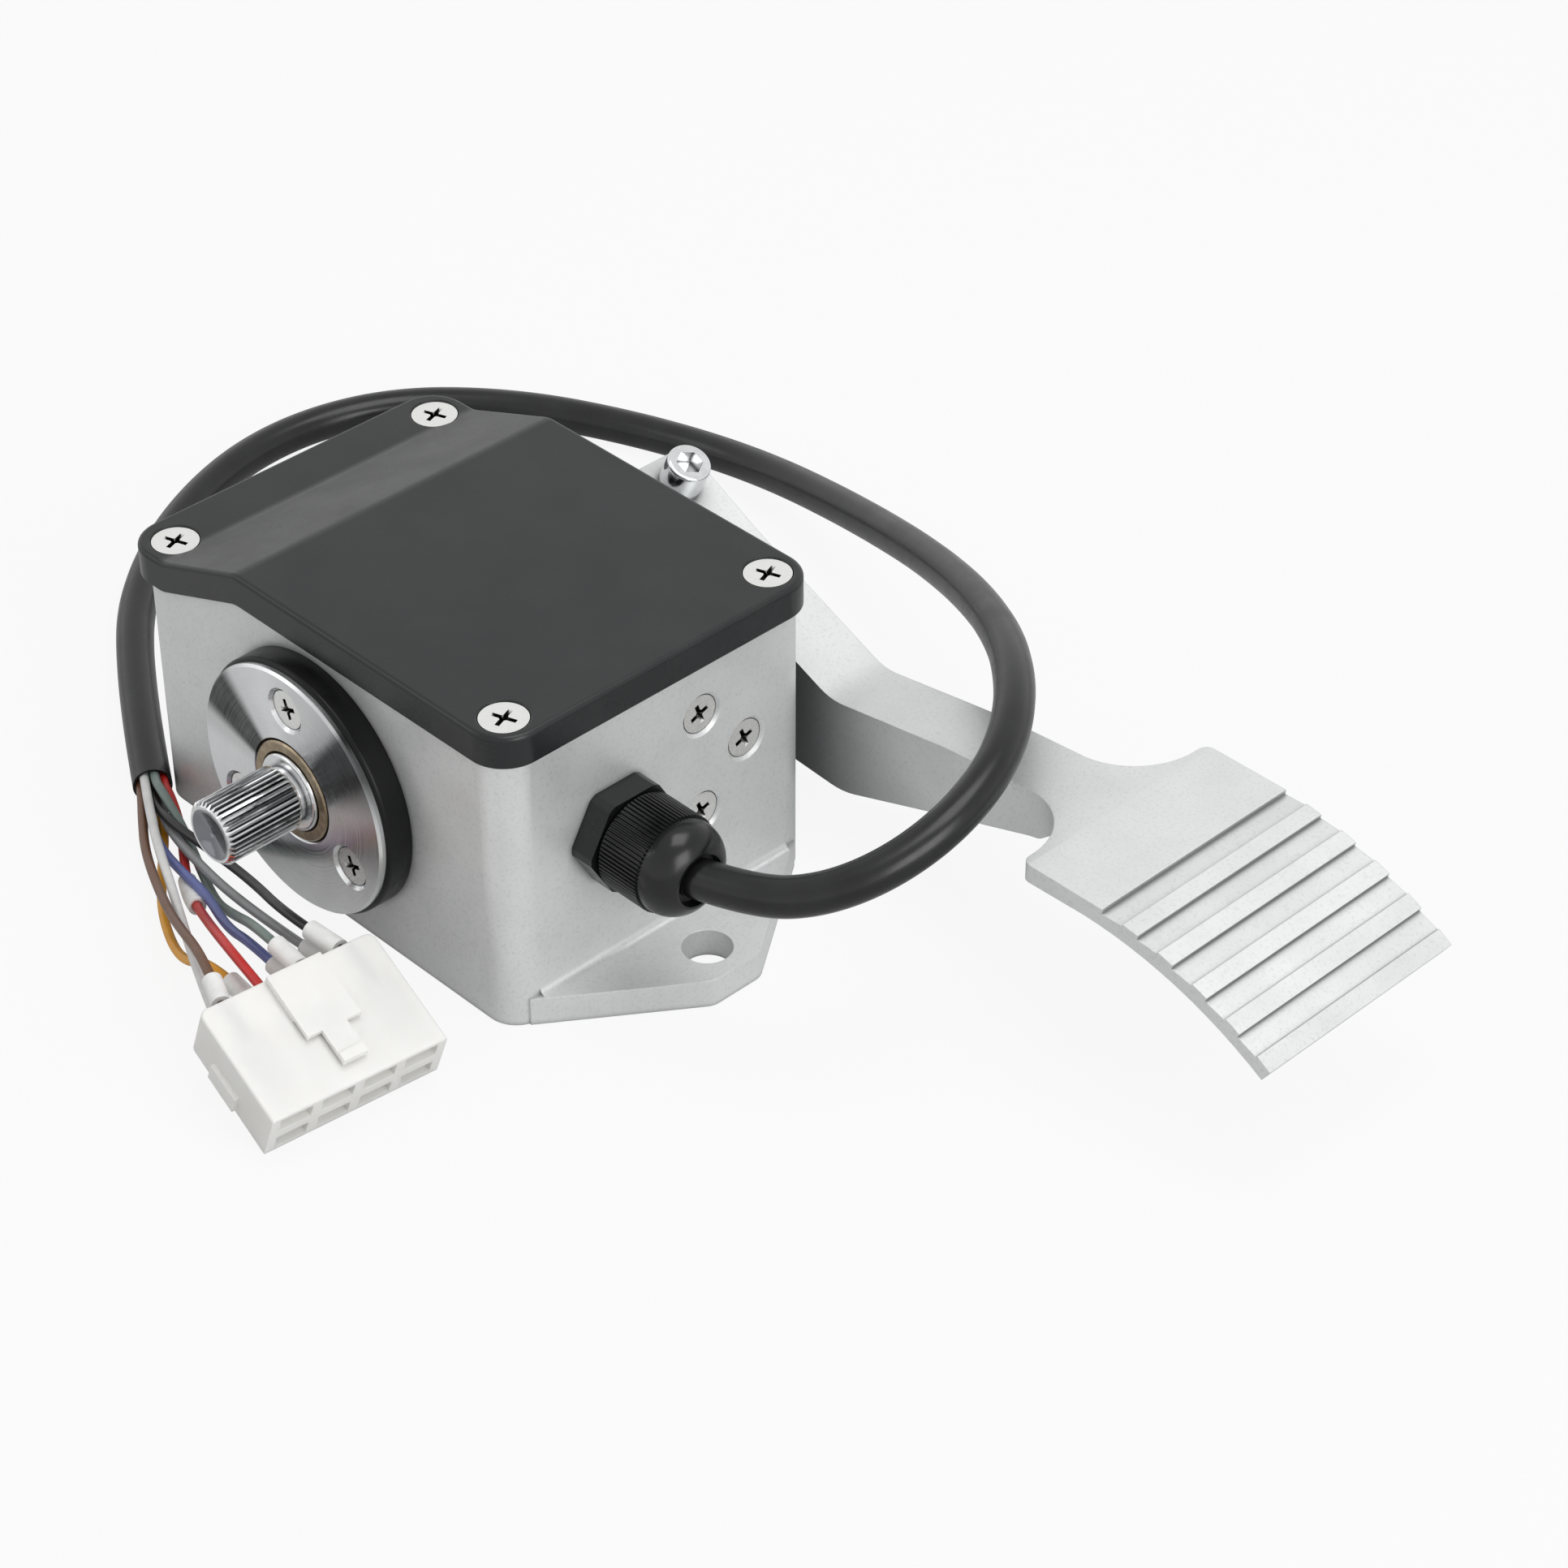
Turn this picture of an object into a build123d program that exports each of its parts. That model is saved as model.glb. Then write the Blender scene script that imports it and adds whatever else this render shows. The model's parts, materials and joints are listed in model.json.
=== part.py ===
"""Throttle foot pedal: cast housing, spring-returned cross shaft, clamped pedal arm and wired connector.

X runs from the housing towards the pedal pad, Y along the shaft towards the pedal arm, Z up.
The origin is the middle of the housing's base, straight under the shaft axis. Millimetres.
"""

import math
import os

from build123d import *

# General clearances
slip = 0.05
play = 0.2
running_fit = 0.05

# Housing casting
body_length = 130.0
body_width = 93.0
body_corner_r = 8.0
body_height = 73.9
rear_drop = 10.6
ramp_front_x = -25.2
ramp_rear_x = -53.5
ramp_blend_r = 8.0
wall = 5.0
floor_thick = 6.0
cavity_corner_r = 4.0
ear_reach = 24.0
ear_thick = 7.35
ear_root_width = 83.0
ear_tip_width = 14.6
ear_corner_r = 5.0
ear_hole_r = 6.0
ear_hole_inset = 9.9
ear_blend_r = 2.0

# Cover
cover_thick = 8.1
cover_over_front = 1.8
cover_over_rear = 3.2
cover_over_side = 1.56
cover_corner_r = 9.5
cover_edge_r = 1.2
cover_skin = 3.4
gasket_thick = 0.8
gasket_width = 3.6
cover_screw_x_front = 58.3
cover_screw_x_rear = -58.6
cover_screw_y = 39.5
cover_boss_r = 7.0
cover_screw_length = 22.0

# Countersunk cross-recess screws
m6_head_r = 5.65
m6_shank_r = 3.0
m5_head_r = 4.8
m5_shank_r = 2.5
screw_sink = 0.3
sunk_depth = 0.8
cross_width = 1.15
cross_reach_share = 0.56
cross_depth = 1.9
cross_turn_deg = 20.0

# Shaft line
axis_z = 38.1
journal_r = 9.75
spline_r = 8.0
spline_depth = 0.85
spline_teeth = 36
shoulder_edge_r = 0.8
neck_length = 1.4
stub_dish = 0.7
shoulder_y = 56.2
shaft_end_y = 78.4
shaft_chamfer = 1.0

# Bearing sets
flange_r = 31.5
plate_thick = 1.6
ring_r = 32.4
ring_thick = 6.9
ring_edge_r = 1.2
bush_wall = 2.95
bush_proud = 0.3
bearing_boss_r = 29.0
bearing_boss_depth = 5.5
flange_screw_circle_r = 22.5
flange_screw_length = 14.0
flange_screw_first_deg = 90.0
circlip_thick = 1.2
circlip_depth = 0.6
circlip_height = 3.0

# Pedal arm and pad
arm_inner_y = 56.5
arm_width = 18.0
arm_slope_deg = 25.5
clamp_top = 26.2
clamp_rear = 21.0
clamp_bottom = 13.5
clamp_slit = 2.4
clamp_screw_offset = 11.6
pad_width = 61.0
pad_root_x = 142.5
pad_flat_end_x = 166.3
pad_top_z = 49.2
pad_thick = 4.4
pad_arc_x = 161.0
pad_arc_r = 99.8
pad_ribs = 5
rib_first_deg = 6.5
rib_pitch_deg = 5.95
rib_width_deg = 2.55
rib_rise = 0.5
rib_fall = 1.1
neck_r = 18.0
pad_corner_r = 2.5

# Clamp screw
cap_head_r = 5.4
cap_head_height = 7.2
cap_socket = 5.8
cap_shank_r = 3.0
cap_length = 34.0
washer_thick = 1.8
washer_r = 5.2

# Return lever and stops
travel_deg = 15.0
lever_width = 18.0
lever_hub_r = 16.0
lever_half_height = 8.0
lever_front = 40.0
lever_rear = 32.0
magnet_r = 3.0
magnet_thick = 3.0
grub_r = 2.5
bumper_r = 4.5
bumper_height = 5.0
bumper_stem_r = 2.5
bumper_stem_length = 4.0
rest_bumper_x = -26.0
full_bumper_x = 28.0
stop_post_r = 7.0
stop_gap = 0.35

# Torsion springs
spring_wire = 2.8
spring_mean_r = 13.6
spring_turns = 4
spring_leg_inset = 0.15
spring_first_y = 14.0

# Sensor unit on the front wall
sensor_y = 17.0
sensor_z = 47.1
sensor_screw_y = 12.4
sensor_screw_drop = 1.6
sensor_width = 30.0
sensor_height = 42.0
sensor_screw_inset = 7.3
bracket_thick = 4.0
module_depth = 10.4
module_inset = 2.0
board_thick = 1.6
bracket_screw_length = 8.0

# Cable gland
gland_y = -14.2
gland_z = 42.2
gland_hex = 24.0
gland_hex_thick = 6.5
gland_thread_r = 10.0
gland_thread_in = 9.0
gland_thread_out = 12.0
gland_nut_r = 12.15
gland_nut_length = 12.8
gland_dome_length = 8.2
gland_band_length = 1.2
gland_crown_r = 7.1
gland_mouth_r = 6.5
gland_ribs = 72
gland_rib_depth = 0.45
locknut_thick = 4.0

# Cable and wires
cable_d = 9.6
lead_r = 2.0
lead_bend_r = 6.5
sheath_bore = 8.5
sheath_end_length = 7.0
wire_d = 2.3
bundle_r = 2.85
bundle_first_deg = 26.0
sleeve_wall = 1.1
sleeve_gap = 0.1

# Connector
conn_x = 56.9
conn_y = -111.8
conn_turn_deg = -6.1
conn_tilt_deg = 22.5
conn_length = 31.3
conn_width = 45.4
conn_height = 14.0
conn_columns = 4
conn_edge_r = 1.6
cavity_width = 8.2
cavity_height = 4.2
cavity_depth = 21.0
row_rise = 3.7
latch_rise = 2.2
latch_gap = 0.8
heel_x = (0.4, 17.6)
heel_y = (17.1, 31.1)
tongue_x = (15.0, 26.7)
tongue_y = (20.8, 27.1)
hook_x = 24.3
hook_rise = 0.5
undercut_x = (12.0, 19.9)
terminal_half_width = 3.2
terminal_half_height = 1.6
terminal_wall = 0.5
terminal_set_back = 7.0

# Worked-out places
half_x = body_length / 2
half_y = body_width / 2
rear_height = body_height - rear_drop
plate_face_y = half_y + ring_thick + plate_thick
inner_boss_y = half_y - wall - bearing_boss_depth
bush_r = journal_r + running_fit + bush_wall
arm_outer_y = arm_inner_y + arm_width
pad_mid_y = arm_inner_y + arm_width / 2
pad_arc_z = pad_top_z - pad_arc_r
cable_r = cable_d / 2
wire_r = wire_d / 2
gland_mouth_x = half_x + gland_hex_thick + gland_nut_length + gland_dome_length
cable_start_x = gland_mouth_x - 2.0

# Route of the cable, chosen by hand: out of the gland, over the arm and round behind the housing
cable_route = [
    (cable_start_x, gland_y, gland_z),
    (106.8, -11.0, 43.8),
    (119.0, -2.6, 46.8),
    (127.2, 10.8, 52.0),
    (130.0, 28.0, 58.0),
    (125.0, 47.5, 62.0),
    (110.5, 67.5, 62.2),
    (85.0, 89.5, 55.5),
    (42.0, 116.0, 38.5),
    (-10.0, 137.5, 20.0),
    (-59.0, 148.5, 7.2),
    (-97.0, 140.5, 4.8),
    (-130.0, 124.0, 4.8),
    (-155.0, 99.0, 4.8),
    (-163.0, 66.0, 4.8),
    (-154.0, 31.0, 4.8),
    (-131.0, -4.0, 4.8),
    (-99.0, -28.8, 4.8),
    (-66.8, -48.4, 4.8),
]


def box_between(low, high):
    """Box from its lowest to its highest corner."""
    size = [b - a for a, b in zip(low, high)]
    middle = [(a + b) / 2 for a, b in zip(low, high)]
    return Pos(*middle) * Box(*size)


def rod_y(radius, y_from, y_to, x=0.0, z=axis_z):
    """Cylinder along the shaft direction."""
    return Pos(x, (y_from + y_to) / 2, z) * Rot(90, 0, 0) * Cylinder(radius, abs(y_to - y_from))


def rod_x(radius, x_from, x_to, y, z):
    """Cylinder along X."""
    return Pos((x_from + x_to) / 2, y, z) * Rot(0, 90, 0) * Cylinder(radius, abs(x_to - x_from))


def rod_z(radius, z_from, z_to, x, y):
    """Upright cylinder."""
    return Pos(x, y, (z_from + z_to) / 2) * Cylinder(radius, abs(z_to - z_from))


def turned(points):
    """Solid of revolution about Z from (radius, height) points."""
    outline = Polyline(*[(r, 0, z) for r, z in points], close=True)
    return revolve(make_face(outline), Axis.Z)


def polar_outline(radius_and_degrees):
    """Closed flat face from polar points."""
    points = []
    for radius, degrees in radius_and_degrees:
        angle = math.radians(degrees)
        points.append((radius * math.cos(angle), radius * math.sin(angle)))
    return make_face(Polyline(*points, close=True))


def toothed_face(count, root_r, tip_r, tip_share, root_share):
    """Face with straight-flanked teeth, used for the splines and the grip ribs."""
    step = 360.0 / count
    points = []
    for tooth in range(count):
        middle = tooth * step
        points.append((root_r, middle - step * (1 - root_share) / 2))
        points.append((tip_r, middle - step * tip_share / 2))
        points.append((tip_r, middle + step * tip_share / 2))
        points.append((root_r, middle + step * (1 - root_share) / 2))
    return polar_outline(points)


def profile_y(outline, y_from, y_to):
    """Closed XZ outline given a thickness from y_from to y_to."""
    face = make_face(outline.edges())
    solid = extrude(face, amount=y_to - y_from, dir=(0, 1, 0))
    return Pos(0, y_from, 0) * solid


def rounded_block(x_from, x_to, half_width, radius, z_from, z_to):
    """Upright block with rounded upright corners."""
    sketch = RectangleRounded(x_to - x_from, 2 * half_width, radius)
    return Pos((x_from + x_to) / 2, 0, z_from) * extrude(sketch, amount=z_to - z_from)


def stepped_top(x_rear, x_front, z_low, rise):
    """XZ outline, from z_low up to the housing's sloping top line raised by rise."""
    top = FilletPolyline(
        (x_rear, 0, rear_height + rise),
        (ramp_rear_x, 0, rear_height + rise),
        (ramp_front_x, 0, body_height + rise),
        (x_front, 0, body_height + rise),
        radius=ramp_blend_r,
    )
    rest = Polyline(
        (x_front, 0, body_height + rise),
        (x_front, 0, z_low),
        (x_rear, 0, z_low),
        (x_rear, 0, rear_height + rise),
    )
    return Curve() + top + rest


def stepped_block(x_rear, x_front, half_width, radius, z_low, rise):
    """Rounded upright block cut off along the sloping top line."""
    prism = rounded_block(x_rear, x_front, half_width, radius, z_low, body_height + rise + 1)
    side = profile_y(stepped_top(x_rear - 1, x_front + 1, z_low - 1, rise), -half_width - 1, half_width + 1)
    return prism & side


def cross_cut(head_r):
    """Cross recess below z = 0: four wings that taper inwards, round a narrow cone."""
    reach = head_r * cross_reach_share
    tip_reach = reach * 0.45
    side = make_face(Polyline(
        (-reach, 0, 0.5),
        (reach, 0, 0.5),
        (reach, 0, 0),
        (tip_reach, 0, -cross_depth),
        (-tip_reach, 0, -cross_depth),
        (-reach, 0, 0),
        close=True,
    ))
    wing = extrude(side, amount=cross_width / 2, dir=(0, 1, 0), both=True)
    cone = Pos(0, 0, -cross_depth / 2) * Cone(cross_width * 0.5, cross_width * 0.95, cross_depth)
    return Rot(0, 0, cross_turn_deg) * (wing + Rot(0, 0, 90) * wing + cone)


def csk_screw(head_r, shank_r, length):
    """Countersunk cross-recess screw, head face at z = 0, pointing down."""
    rim = 0.5
    body = turned([
        (0, 0),
        (head_r, 0),
        (head_r, -rim),
        (shank_r, -rim - (head_r - shank_r)),
        (shank_r, -length + 0.8),
        (shank_r - 0.8, -length),
        (0, -length),
    ])
    return body - cross_cut(head_r)


def csk_hole(head_r, shank_r, length, sink):
    """Cutter for a countersunk screw whose head sits sink below the face; the sink goes on flaring."""
    rim = 0.5
    mouth_r = head_r + play
    return turned([
        (0, sink + 1),
        (mouth_r + sink + 1, sink + 1),
        (mouth_r, 0),
        (mouth_r, -rim - slip),
        (shank_r + slip, -rim - slip - (mouth_r - shank_r - slip)),
        (shank_r + slip, -length - 0.5),
        (0, -length - 0.5),
    ])


def cover_screw_spots():
    """Places of the four cover screw heads."""
    spots = []
    for x, z in ((cover_screw_x_front, body_height), (cover_screw_x_rear, rear_height)):
        for side in (-1, 1):
            spots.append((x, side * cover_screw_y, z + cover_thick - screw_sink))
    return spots


def flange_screw_locations(side):
    """Locations of the three flange screws on one side, each pointing into the wall."""
    places = []
    for step in range(3):
        angle = math.radians(flange_screw_first_deg + 120 * step)
        x = flange_screw_circle_r * math.cos(angle)
        z = axis_z + flange_screw_circle_r * math.sin(angle)
        y = side * (plate_face_y - sunk_depth)
        places.append(Pos(x, y, z) * Rot(-90 * side, 0, 0))
    return places


def bracket_screw_locations():
    """Locations of the three screws in the front wall, pointing inwards."""
    places = []
    circle_r = sensor_height / 2 - sensor_screw_inset
    for degrees in (90, 0, -90):
        angle = math.radians(degrees)
        y = sensor_screw_y + circle_r * math.cos(angle)
        z = sensor_z - sensor_screw_drop + circle_r * math.sin(angle)
        places.append(Pos(half_x - sunk_depth, y, z) * Rot(0, 90, 0))
    return places


def ear(side):
    """Tapered mounting ear with its bolt hole, at the front for side 1 and at the rear for side -1."""
    tip_x = half_x + ear_reach
    outline = Polyline(
        (half_x - wall, ear_root_width / 2),
        (half_x, ear_root_width / 2),
        (tip_x, ear_tip_width / 2),
        (tip_x, -ear_tip_width / 2),
        (half_x, -ear_root_width / 2),
        (half_x - wall, -ear_root_width / 2),
        close=True,
    )
    plate = extrude(make_face(outline), amount=ear_thick)
    tips = plate.edges().filter_by(Axis.Z).group_by(Axis.X)[-1]
    plate = fillet(tips, ear_corner_r)
    plate -= rod_z(ear_hole_r, -1, ear_thick + 1, tip_x - ear_hole_inset, 0)
    return plate if side > 0 else Rot(0, 0, 180) * plate


def ear_blend(side):
    """Rounded inside corner between an ear and the wall above it."""
    near = half_x - 1
    far = half_x + ear_blend_r
    top = ear_thick + ear_blend_r
    bend = ear_blend_r * (1 - math.sqrt(0.5))
    arc = ThreePointArc((half_x, 0, top), (half_x + bend, 0, ear_thick + bend), (far, 0, ear_thick))
    rest = Polyline(
        (far, 0, ear_thick),
        (far, 0, ear_thick - 1),
        (near, 0, ear_thick - 1),
        (near, 0, top),
        (half_x, 0, top),
    )
    half_run = half_y - body_corner_r
    strip = profile_y(Curve() + arc + rest, -half_run, half_run)
    return strip if side > 0 else Rot(0, 0, 180) * strip


def make_housing():
    """Cast box with bearing bosses, screw pillars, stop posts and two ears."""
    solid = stepped_block(-half_x, half_x, half_y, body_corner_r, 0, 0)
    solid += [ear(1), ear(-1)]
    solid += [ear_blend(1), ear_blend(-1)]
    inner_x = half_x - wall
    inner_y = half_y - wall
    cavity = rounded_block(-inner_x, inner_x, inner_y, cavity_corner_r, floor_thick, body_height + 1)
    for x, y, z in cover_screw_spots():
        cavity -= rod_z(cover_boss_r, 0, body_height + 2, x, y)
    for side in (-1, 1):
        boss = rod_y(bearing_boss_r, side * inner_boss_y, side * (inner_y + 1))
        cavity -= boss
    for x, top in stop_posts():
        cavity -= rod_z(stop_post_r, 0, top, x, 0)
    solid -= cavity
    for side in (-1, 1):
        solid -= rod_y(bush_r + slip, side * (inner_boss_y - 1), side * (half_y + 1))
        for place in flange_screw_locations(side):
            solid -= place * csk_hole(m5_head_r, m5_shank_r, flange_screw_length, 0)
    for place in bracket_screw_locations():
        solid -= place * csk_hole(m5_head_r, m5_shank_r, bracket_screw_length, sunk_depth)
    for x, y, z in cover_screw_spots():
        solid -= rod_z(m6_shank_r + slip, z - cover_screw_length - 1, body_height + 1, x, y)
    for x, top in stop_posts():
        solid -= rod_z(bumper_stem_r + slip, top - bumper_stem_length - 0.5, top + 1, x, 0)
    solid -= rod_x(gland_thread_r + slip, inner_x - 1, half_x + 1, gland_y, gland_z)
    return solid


def make_cover():
    """Moulded cover with a low rear strip, a ramp and a hollow underside."""
    low = rear_height
    solid = stepped_block(
        -half_x - cover_over_rear, half_x + cover_over_front, half_y + cover_over_side,
        cover_corner_r, low - 1, cover_thick,
    )
    under = profile_y(stepped_top(-half_x - 20, half_x + 20, -1, 0), -half_y - 20, half_y + 20)
    solid -= under
    rim = solid.edges().filter_by(lambda e: is_cover_top(e))
    solid = fillet(rim, cover_edge_r)
    seat = stepped_block(-half_x - play, half_x + play, half_y + play, body_corner_r, low - 2, gasket_thick)
    solid -= seat
    inner_x = half_x - wall - 1
    inner_y = half_y - wall - 1
    pocket = stepped_block(-inner_x, inner_x, inner_y, cavity_corner_r, low - 2, cover_thick - cover_skin)
    for x, y, z in cover_screw_spots():
        pocket -= rod_z(cover_boss_r + 2, 0, body_height + 20, x, y)
    solid -= pocket
    for x, y, z in cover_screw_spots():
        solid -= Pos(x, y, z) * csk_hole(m6_head_r, m6_shank_r, cover_screw_length, screw_sink)
    return solid


def is_cover_top(edge):
    """True for edges that lie on the cover's upper surface."""
    middle = edge.position_at(0.5)
    if middle.X <= ramp_rear_x:
        line = rear_height
    elif middle.X >= ramp_front_x:
        line = body_height
    else:
        share = (middle.X - ramp_rear_x) / (ramp_front_x - ramp_rear_x)
        line = rear_height + share * rear_drop
    on_top = abs(middle.Z - line - cover_thick) < 1.0
    outer = abs(abs(middle.Y) - half_y - cover_over_side) < 0.01 or middle.X > half_x - cover_corner_r
    return on_top and (outer or middle.X < -half_x + cover_corner_r) and edge.length > 0.5


def make_cover_gasket():
    """Flat seal between the housing's rim and the cover."""
    outer = stepped_block(-half_x, half_x, half_y, body_corner_r, rear_height - 2, gasket_thick)
    inner_x = half_x - gasket_width
    inner_y = half_y - gasket_width
    inner = rounded_block(-inner_x, inner_x, inner_y, cavity_corner_r, 0, body_height + 5)
    for x, y, z in cover_screw_spots():
        inner -= rod_z(cover_boss_r, 0, body_height + 20, x, y)
    under = profile_y(stepped_top(-half_x - 20, half_x + 20, -1, 0), -half_y - 20, half_y + 20)
    solid = outer - under - inner
    for x, y, z in cover_screw_spots():
        solid -= rod_z(m6_shank_r + play, 0, body_height + 20, x, y)
    return solid


def make_cover_screws():
    """Four M6 countersunk screws."""
    screws = []
    for x, y, z in cover_screw_spots():
        screws.append(Pos(x, y, z) * csk_screw(m6_head_r, m6_shank_r, cover_screw_length))
    return Compound(screws)


def make_flange_plate(side):
    """Turned steel plate over one bearing."""
    chamfer = 0.6
    hole_r = bush_r + slip
    disc = turned([
        (hole_r, 0),
        (flange_r, 0),
        (flange_r, plate_thick - chamfer),
        (flange_r - chamfer, plate_thick),
        (hole_r + chamfer, plate_thick),
        (hole_r, plate_thick - chamfer),
    ])
    disc = Pos(0, side * (half_y + ring_thick), axis_z) * Rot(-90 * side, 0, 0) * disc
    for place in flange_screw_locations(side):
        disc -= place * csk_hole(m5_head_r, m5_shank_r, flange_screw_length, sunk_depth)
    return disc


def make_flange_ring(side):
    """Black spacer ring between the plate and the housing wall."""
    outer = rod_y(ring_r, side * half_y, side * (half_y + ring_thick))
    rim = outer.edges().sort_by(lambda e: side * e.center().Y)[-1]
    outer = fillet(rim, ring_edge_r)
    solid = outer - rod_y(bush_r + play, side * (half_y - 1), side * (half_y + ring_thick + 1))
    for place in flange_screw_locations(side):
        solid -= place * csk_hole(m5_head_r, m5_shank_r, flange_screw_length, sunk_depth)
    return solid


def make_bush(side):
    """Bronze plain bearing."""
    inner_r = journal_r + running_fit
    length = plate_face_y + bush_proud - inner_boss_y
    chamfer = 0.4
    sleeve = turned([
        (inner_r, 0),
        (bush_r, 0),
        (bush_r, length - chamfer),
        (bush_r - chamfer, length),
        (inner_r + chamfer, length),
        (inner_r, length - chamfer),
    ])
    return Pos(0, side * inner_boss_y, axis_z) * Rot(-90 * side, 0, 0) * sleeve


def make_flange_screws(side):
    """Three countersunk screws of one bearing."""
    screw = csk_screw(m5_head_r, m5_shank_r, flange_screw_length)
    return Compound([place * screw for place in flange_screw_locations(side)])


def make_shaft():
    """Cross shaft: plain journals with a necked, splined and dished stub at each end."""
    solid = rod_y(journal_r, -shoulder_y, shoulder_y)
    solid = fillet(solid.edges().filter_by(GeomType.CIRCLE), shoulder_edge_r)
    end = shaft_end_y - shoulder_y + 1
    neck_r = spline_r - spline_depth - 0.25
    neck_end = neck_length + 1
    dish_rim_r = spline_r - shaft_chamfer - 1.2
    dish_ball_r = (dish_rim_r ** 2 + stub_dish ** 2) / (2 * stub_dish)
    teeth = toothed_face(spline_teeth, spline_r - spline_depth, spline_r, 0.28, 0.3)
    shape = turned([
        (0, 0),
        (neck_r, 0),
        (neck_r, neck_end),
        (spline_r + 0.2, neck_end + 1.2),
        (spline_r + 0.2, end - shaft_chamfer - 0.2),
        (spline_r - shaft_chamfer, end),
        (0, end),
    ])
    stub = extrude(teeth, amount=end) & shape
    stub -= Pos(0, 0, end + dish_ball_r - stub_dish) * Sphere(dish_ball_r)
    for side in (-1, 1):
        place = Pos(0, side * (shoulder_y - 1), axis_z) * Rot(-90 * side, 0, 0)
        solid += place * stub
        groove = circlip_band(side, 0.05)
        solid -= groove
    return solid


def circlip_band(side, spare):
    """Ring-shaped cutter for one circlip groove in the shaft."""
    near = circlip_near_y() - spare
    far = circlip_near_y() + circlip_thick + spare
    ring = rod_y(journal_r + 1, side * near, side * far)
    return ring - rod_y(journal_r - circlip_depth, side * (near - 1), side * (far + 1))


def circlip_near_y():
    """Inner face of the circlips, which run just inside the bushes."""
    return inner_boss_y - play - circlip_thick


def make_circlips():
    """Two external retaining rings with lugs."""
    clips = []
    inner_r = journal_r - circlip_depth + slip
    for side in (-1, 1):
        near = side * circlip_near_y()
        far = side * (circlip_near_y() + circlip_thick)
        outer = rod_y(inner_r + circlip_height, near, far, 0, axis_z - 0.4)
        for lug_side in (-1, 1):
            outer += rod_y(2.0, near, far, lug_side * 3.2, axis_z + inner_r + 2.6)
        outer -= rod_y(inner_r, near - side, far + side)
        gap = box_between((-1.6, min(near, far) - 1, axis_z), (1.6, max(near, far) + 1, axis_z + 20))
        outer -= gap
        for lug_side in (-1, 1):
            outer -= rod_y(0.8, near - side, far + side, lug_side * 3.3, axis_z + inner_r + 2.6)
        clips.append(outer)
    return Compound(clips)


def lever_outline():
    """Side view of the lever's two arms."""
    low = axis_z - lever_half_height
    high = axis_z + lever_half_height
    tip_drop = 1.5
    return FilletPolyline(
        (-lever_rear, 0, low),
        (lever_front, 0, low),
        (lever_front, 0, high - tip_drop),
        (0, 0, high + 3),
        (-lever_rear, 0, high - tip_drop),
        radius=2.0,
        close=True,
    )


def make_lever():
    """Two-armed stop lever fixed to the shaft, carrying the magnet."""
    half = lever_width / 2
    solid = rod_y(lever_hub_r, -half, half)
    arms = profile_y(lever_outline(), -half + 2, half - 2)
    solid += arms
    solid -= rod_y(journal_r + slip, -half - 1, half + 1)
    for y in (-half / 2, half / 2):
        solid -= rod_z(grub_r + slip, axis_z, axis_z + lever_hub_r + 5, 0, y)
    solid -= magnet_pocket(slip)
    for side in (-1, 1):
        leg_hole_r = spring_wire / 2 + play
        solid -= rod_y(leg_hole_r, side * (half - 4), side * (half + 1), 0, axis_z - spring_mean_r)
    return solid


def magnet_pocket(spare):
    """Blind round pocket, or the magnet itself when spare is zero, in the lever's tip."""
    back = lever_front - magnet_thick - 4 * spare
    front = lever_front + (1 if spare else 0)
    return rod_x(magnet_r + spare, back, front, lever_width / 4, axis_z - 1)


def make_grub_screws():
    """Two socket set screws that lock the lever on the shaft."""
    screws = []
    for y in (-lever_width / 4, lever_width / 4):
        top = axis_z + lever_hub_r - 2.0
        screw = rod_z(grub_r, axis_z + journal_r + 0.02, top, 0, y)
        socket = Pos(0, y, top - 1.5) * extrude(RegularPolygon(1.3, 6), amount=2)
        screws.append(screw - socket)
    return Compound(screws)


def rest_stop_top():
    """Height of the rest bumper, just under the lever's rear arm."""
    return axis_z - lever_half_height - stop_gap


def full_stop_top():
    """Height of the full-travel bumper, just under the lever's front arm when it is down."""
    tilt = math.radians(travel_deg)
    edge_x = full_bumper_x + bumper_r
    return axis_z - lever_half_height / math.cos(tilt) - edge_x * math.tan(tilt) - stop_gap


def stop_posts():
    """Position and top height of the two posts that carry the bumpers."""
    return [
        (rest_bumper_x, rest_stop_top() - bumper_height),
        (full_bumper_x, full_stop_top() - bumper_height),
    ]


def make_bumper(x, post_top):
    """Rubber stop with a stem pressed into its post."""
    crown = 1.0
    shape = turned([
        (0, -bumper_stem_length),
        (bumper_stem_r, -bumper_stem_length),
        (bumper_stem_r, 0),
        (bumper_r, 0),
        (bumper_r, bumper_height - crown),
        (bumper_r - crown, bumper_height),
        (0, bumper_height),
    ])
    return Pos(x, 0, post_top) * shape


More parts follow.
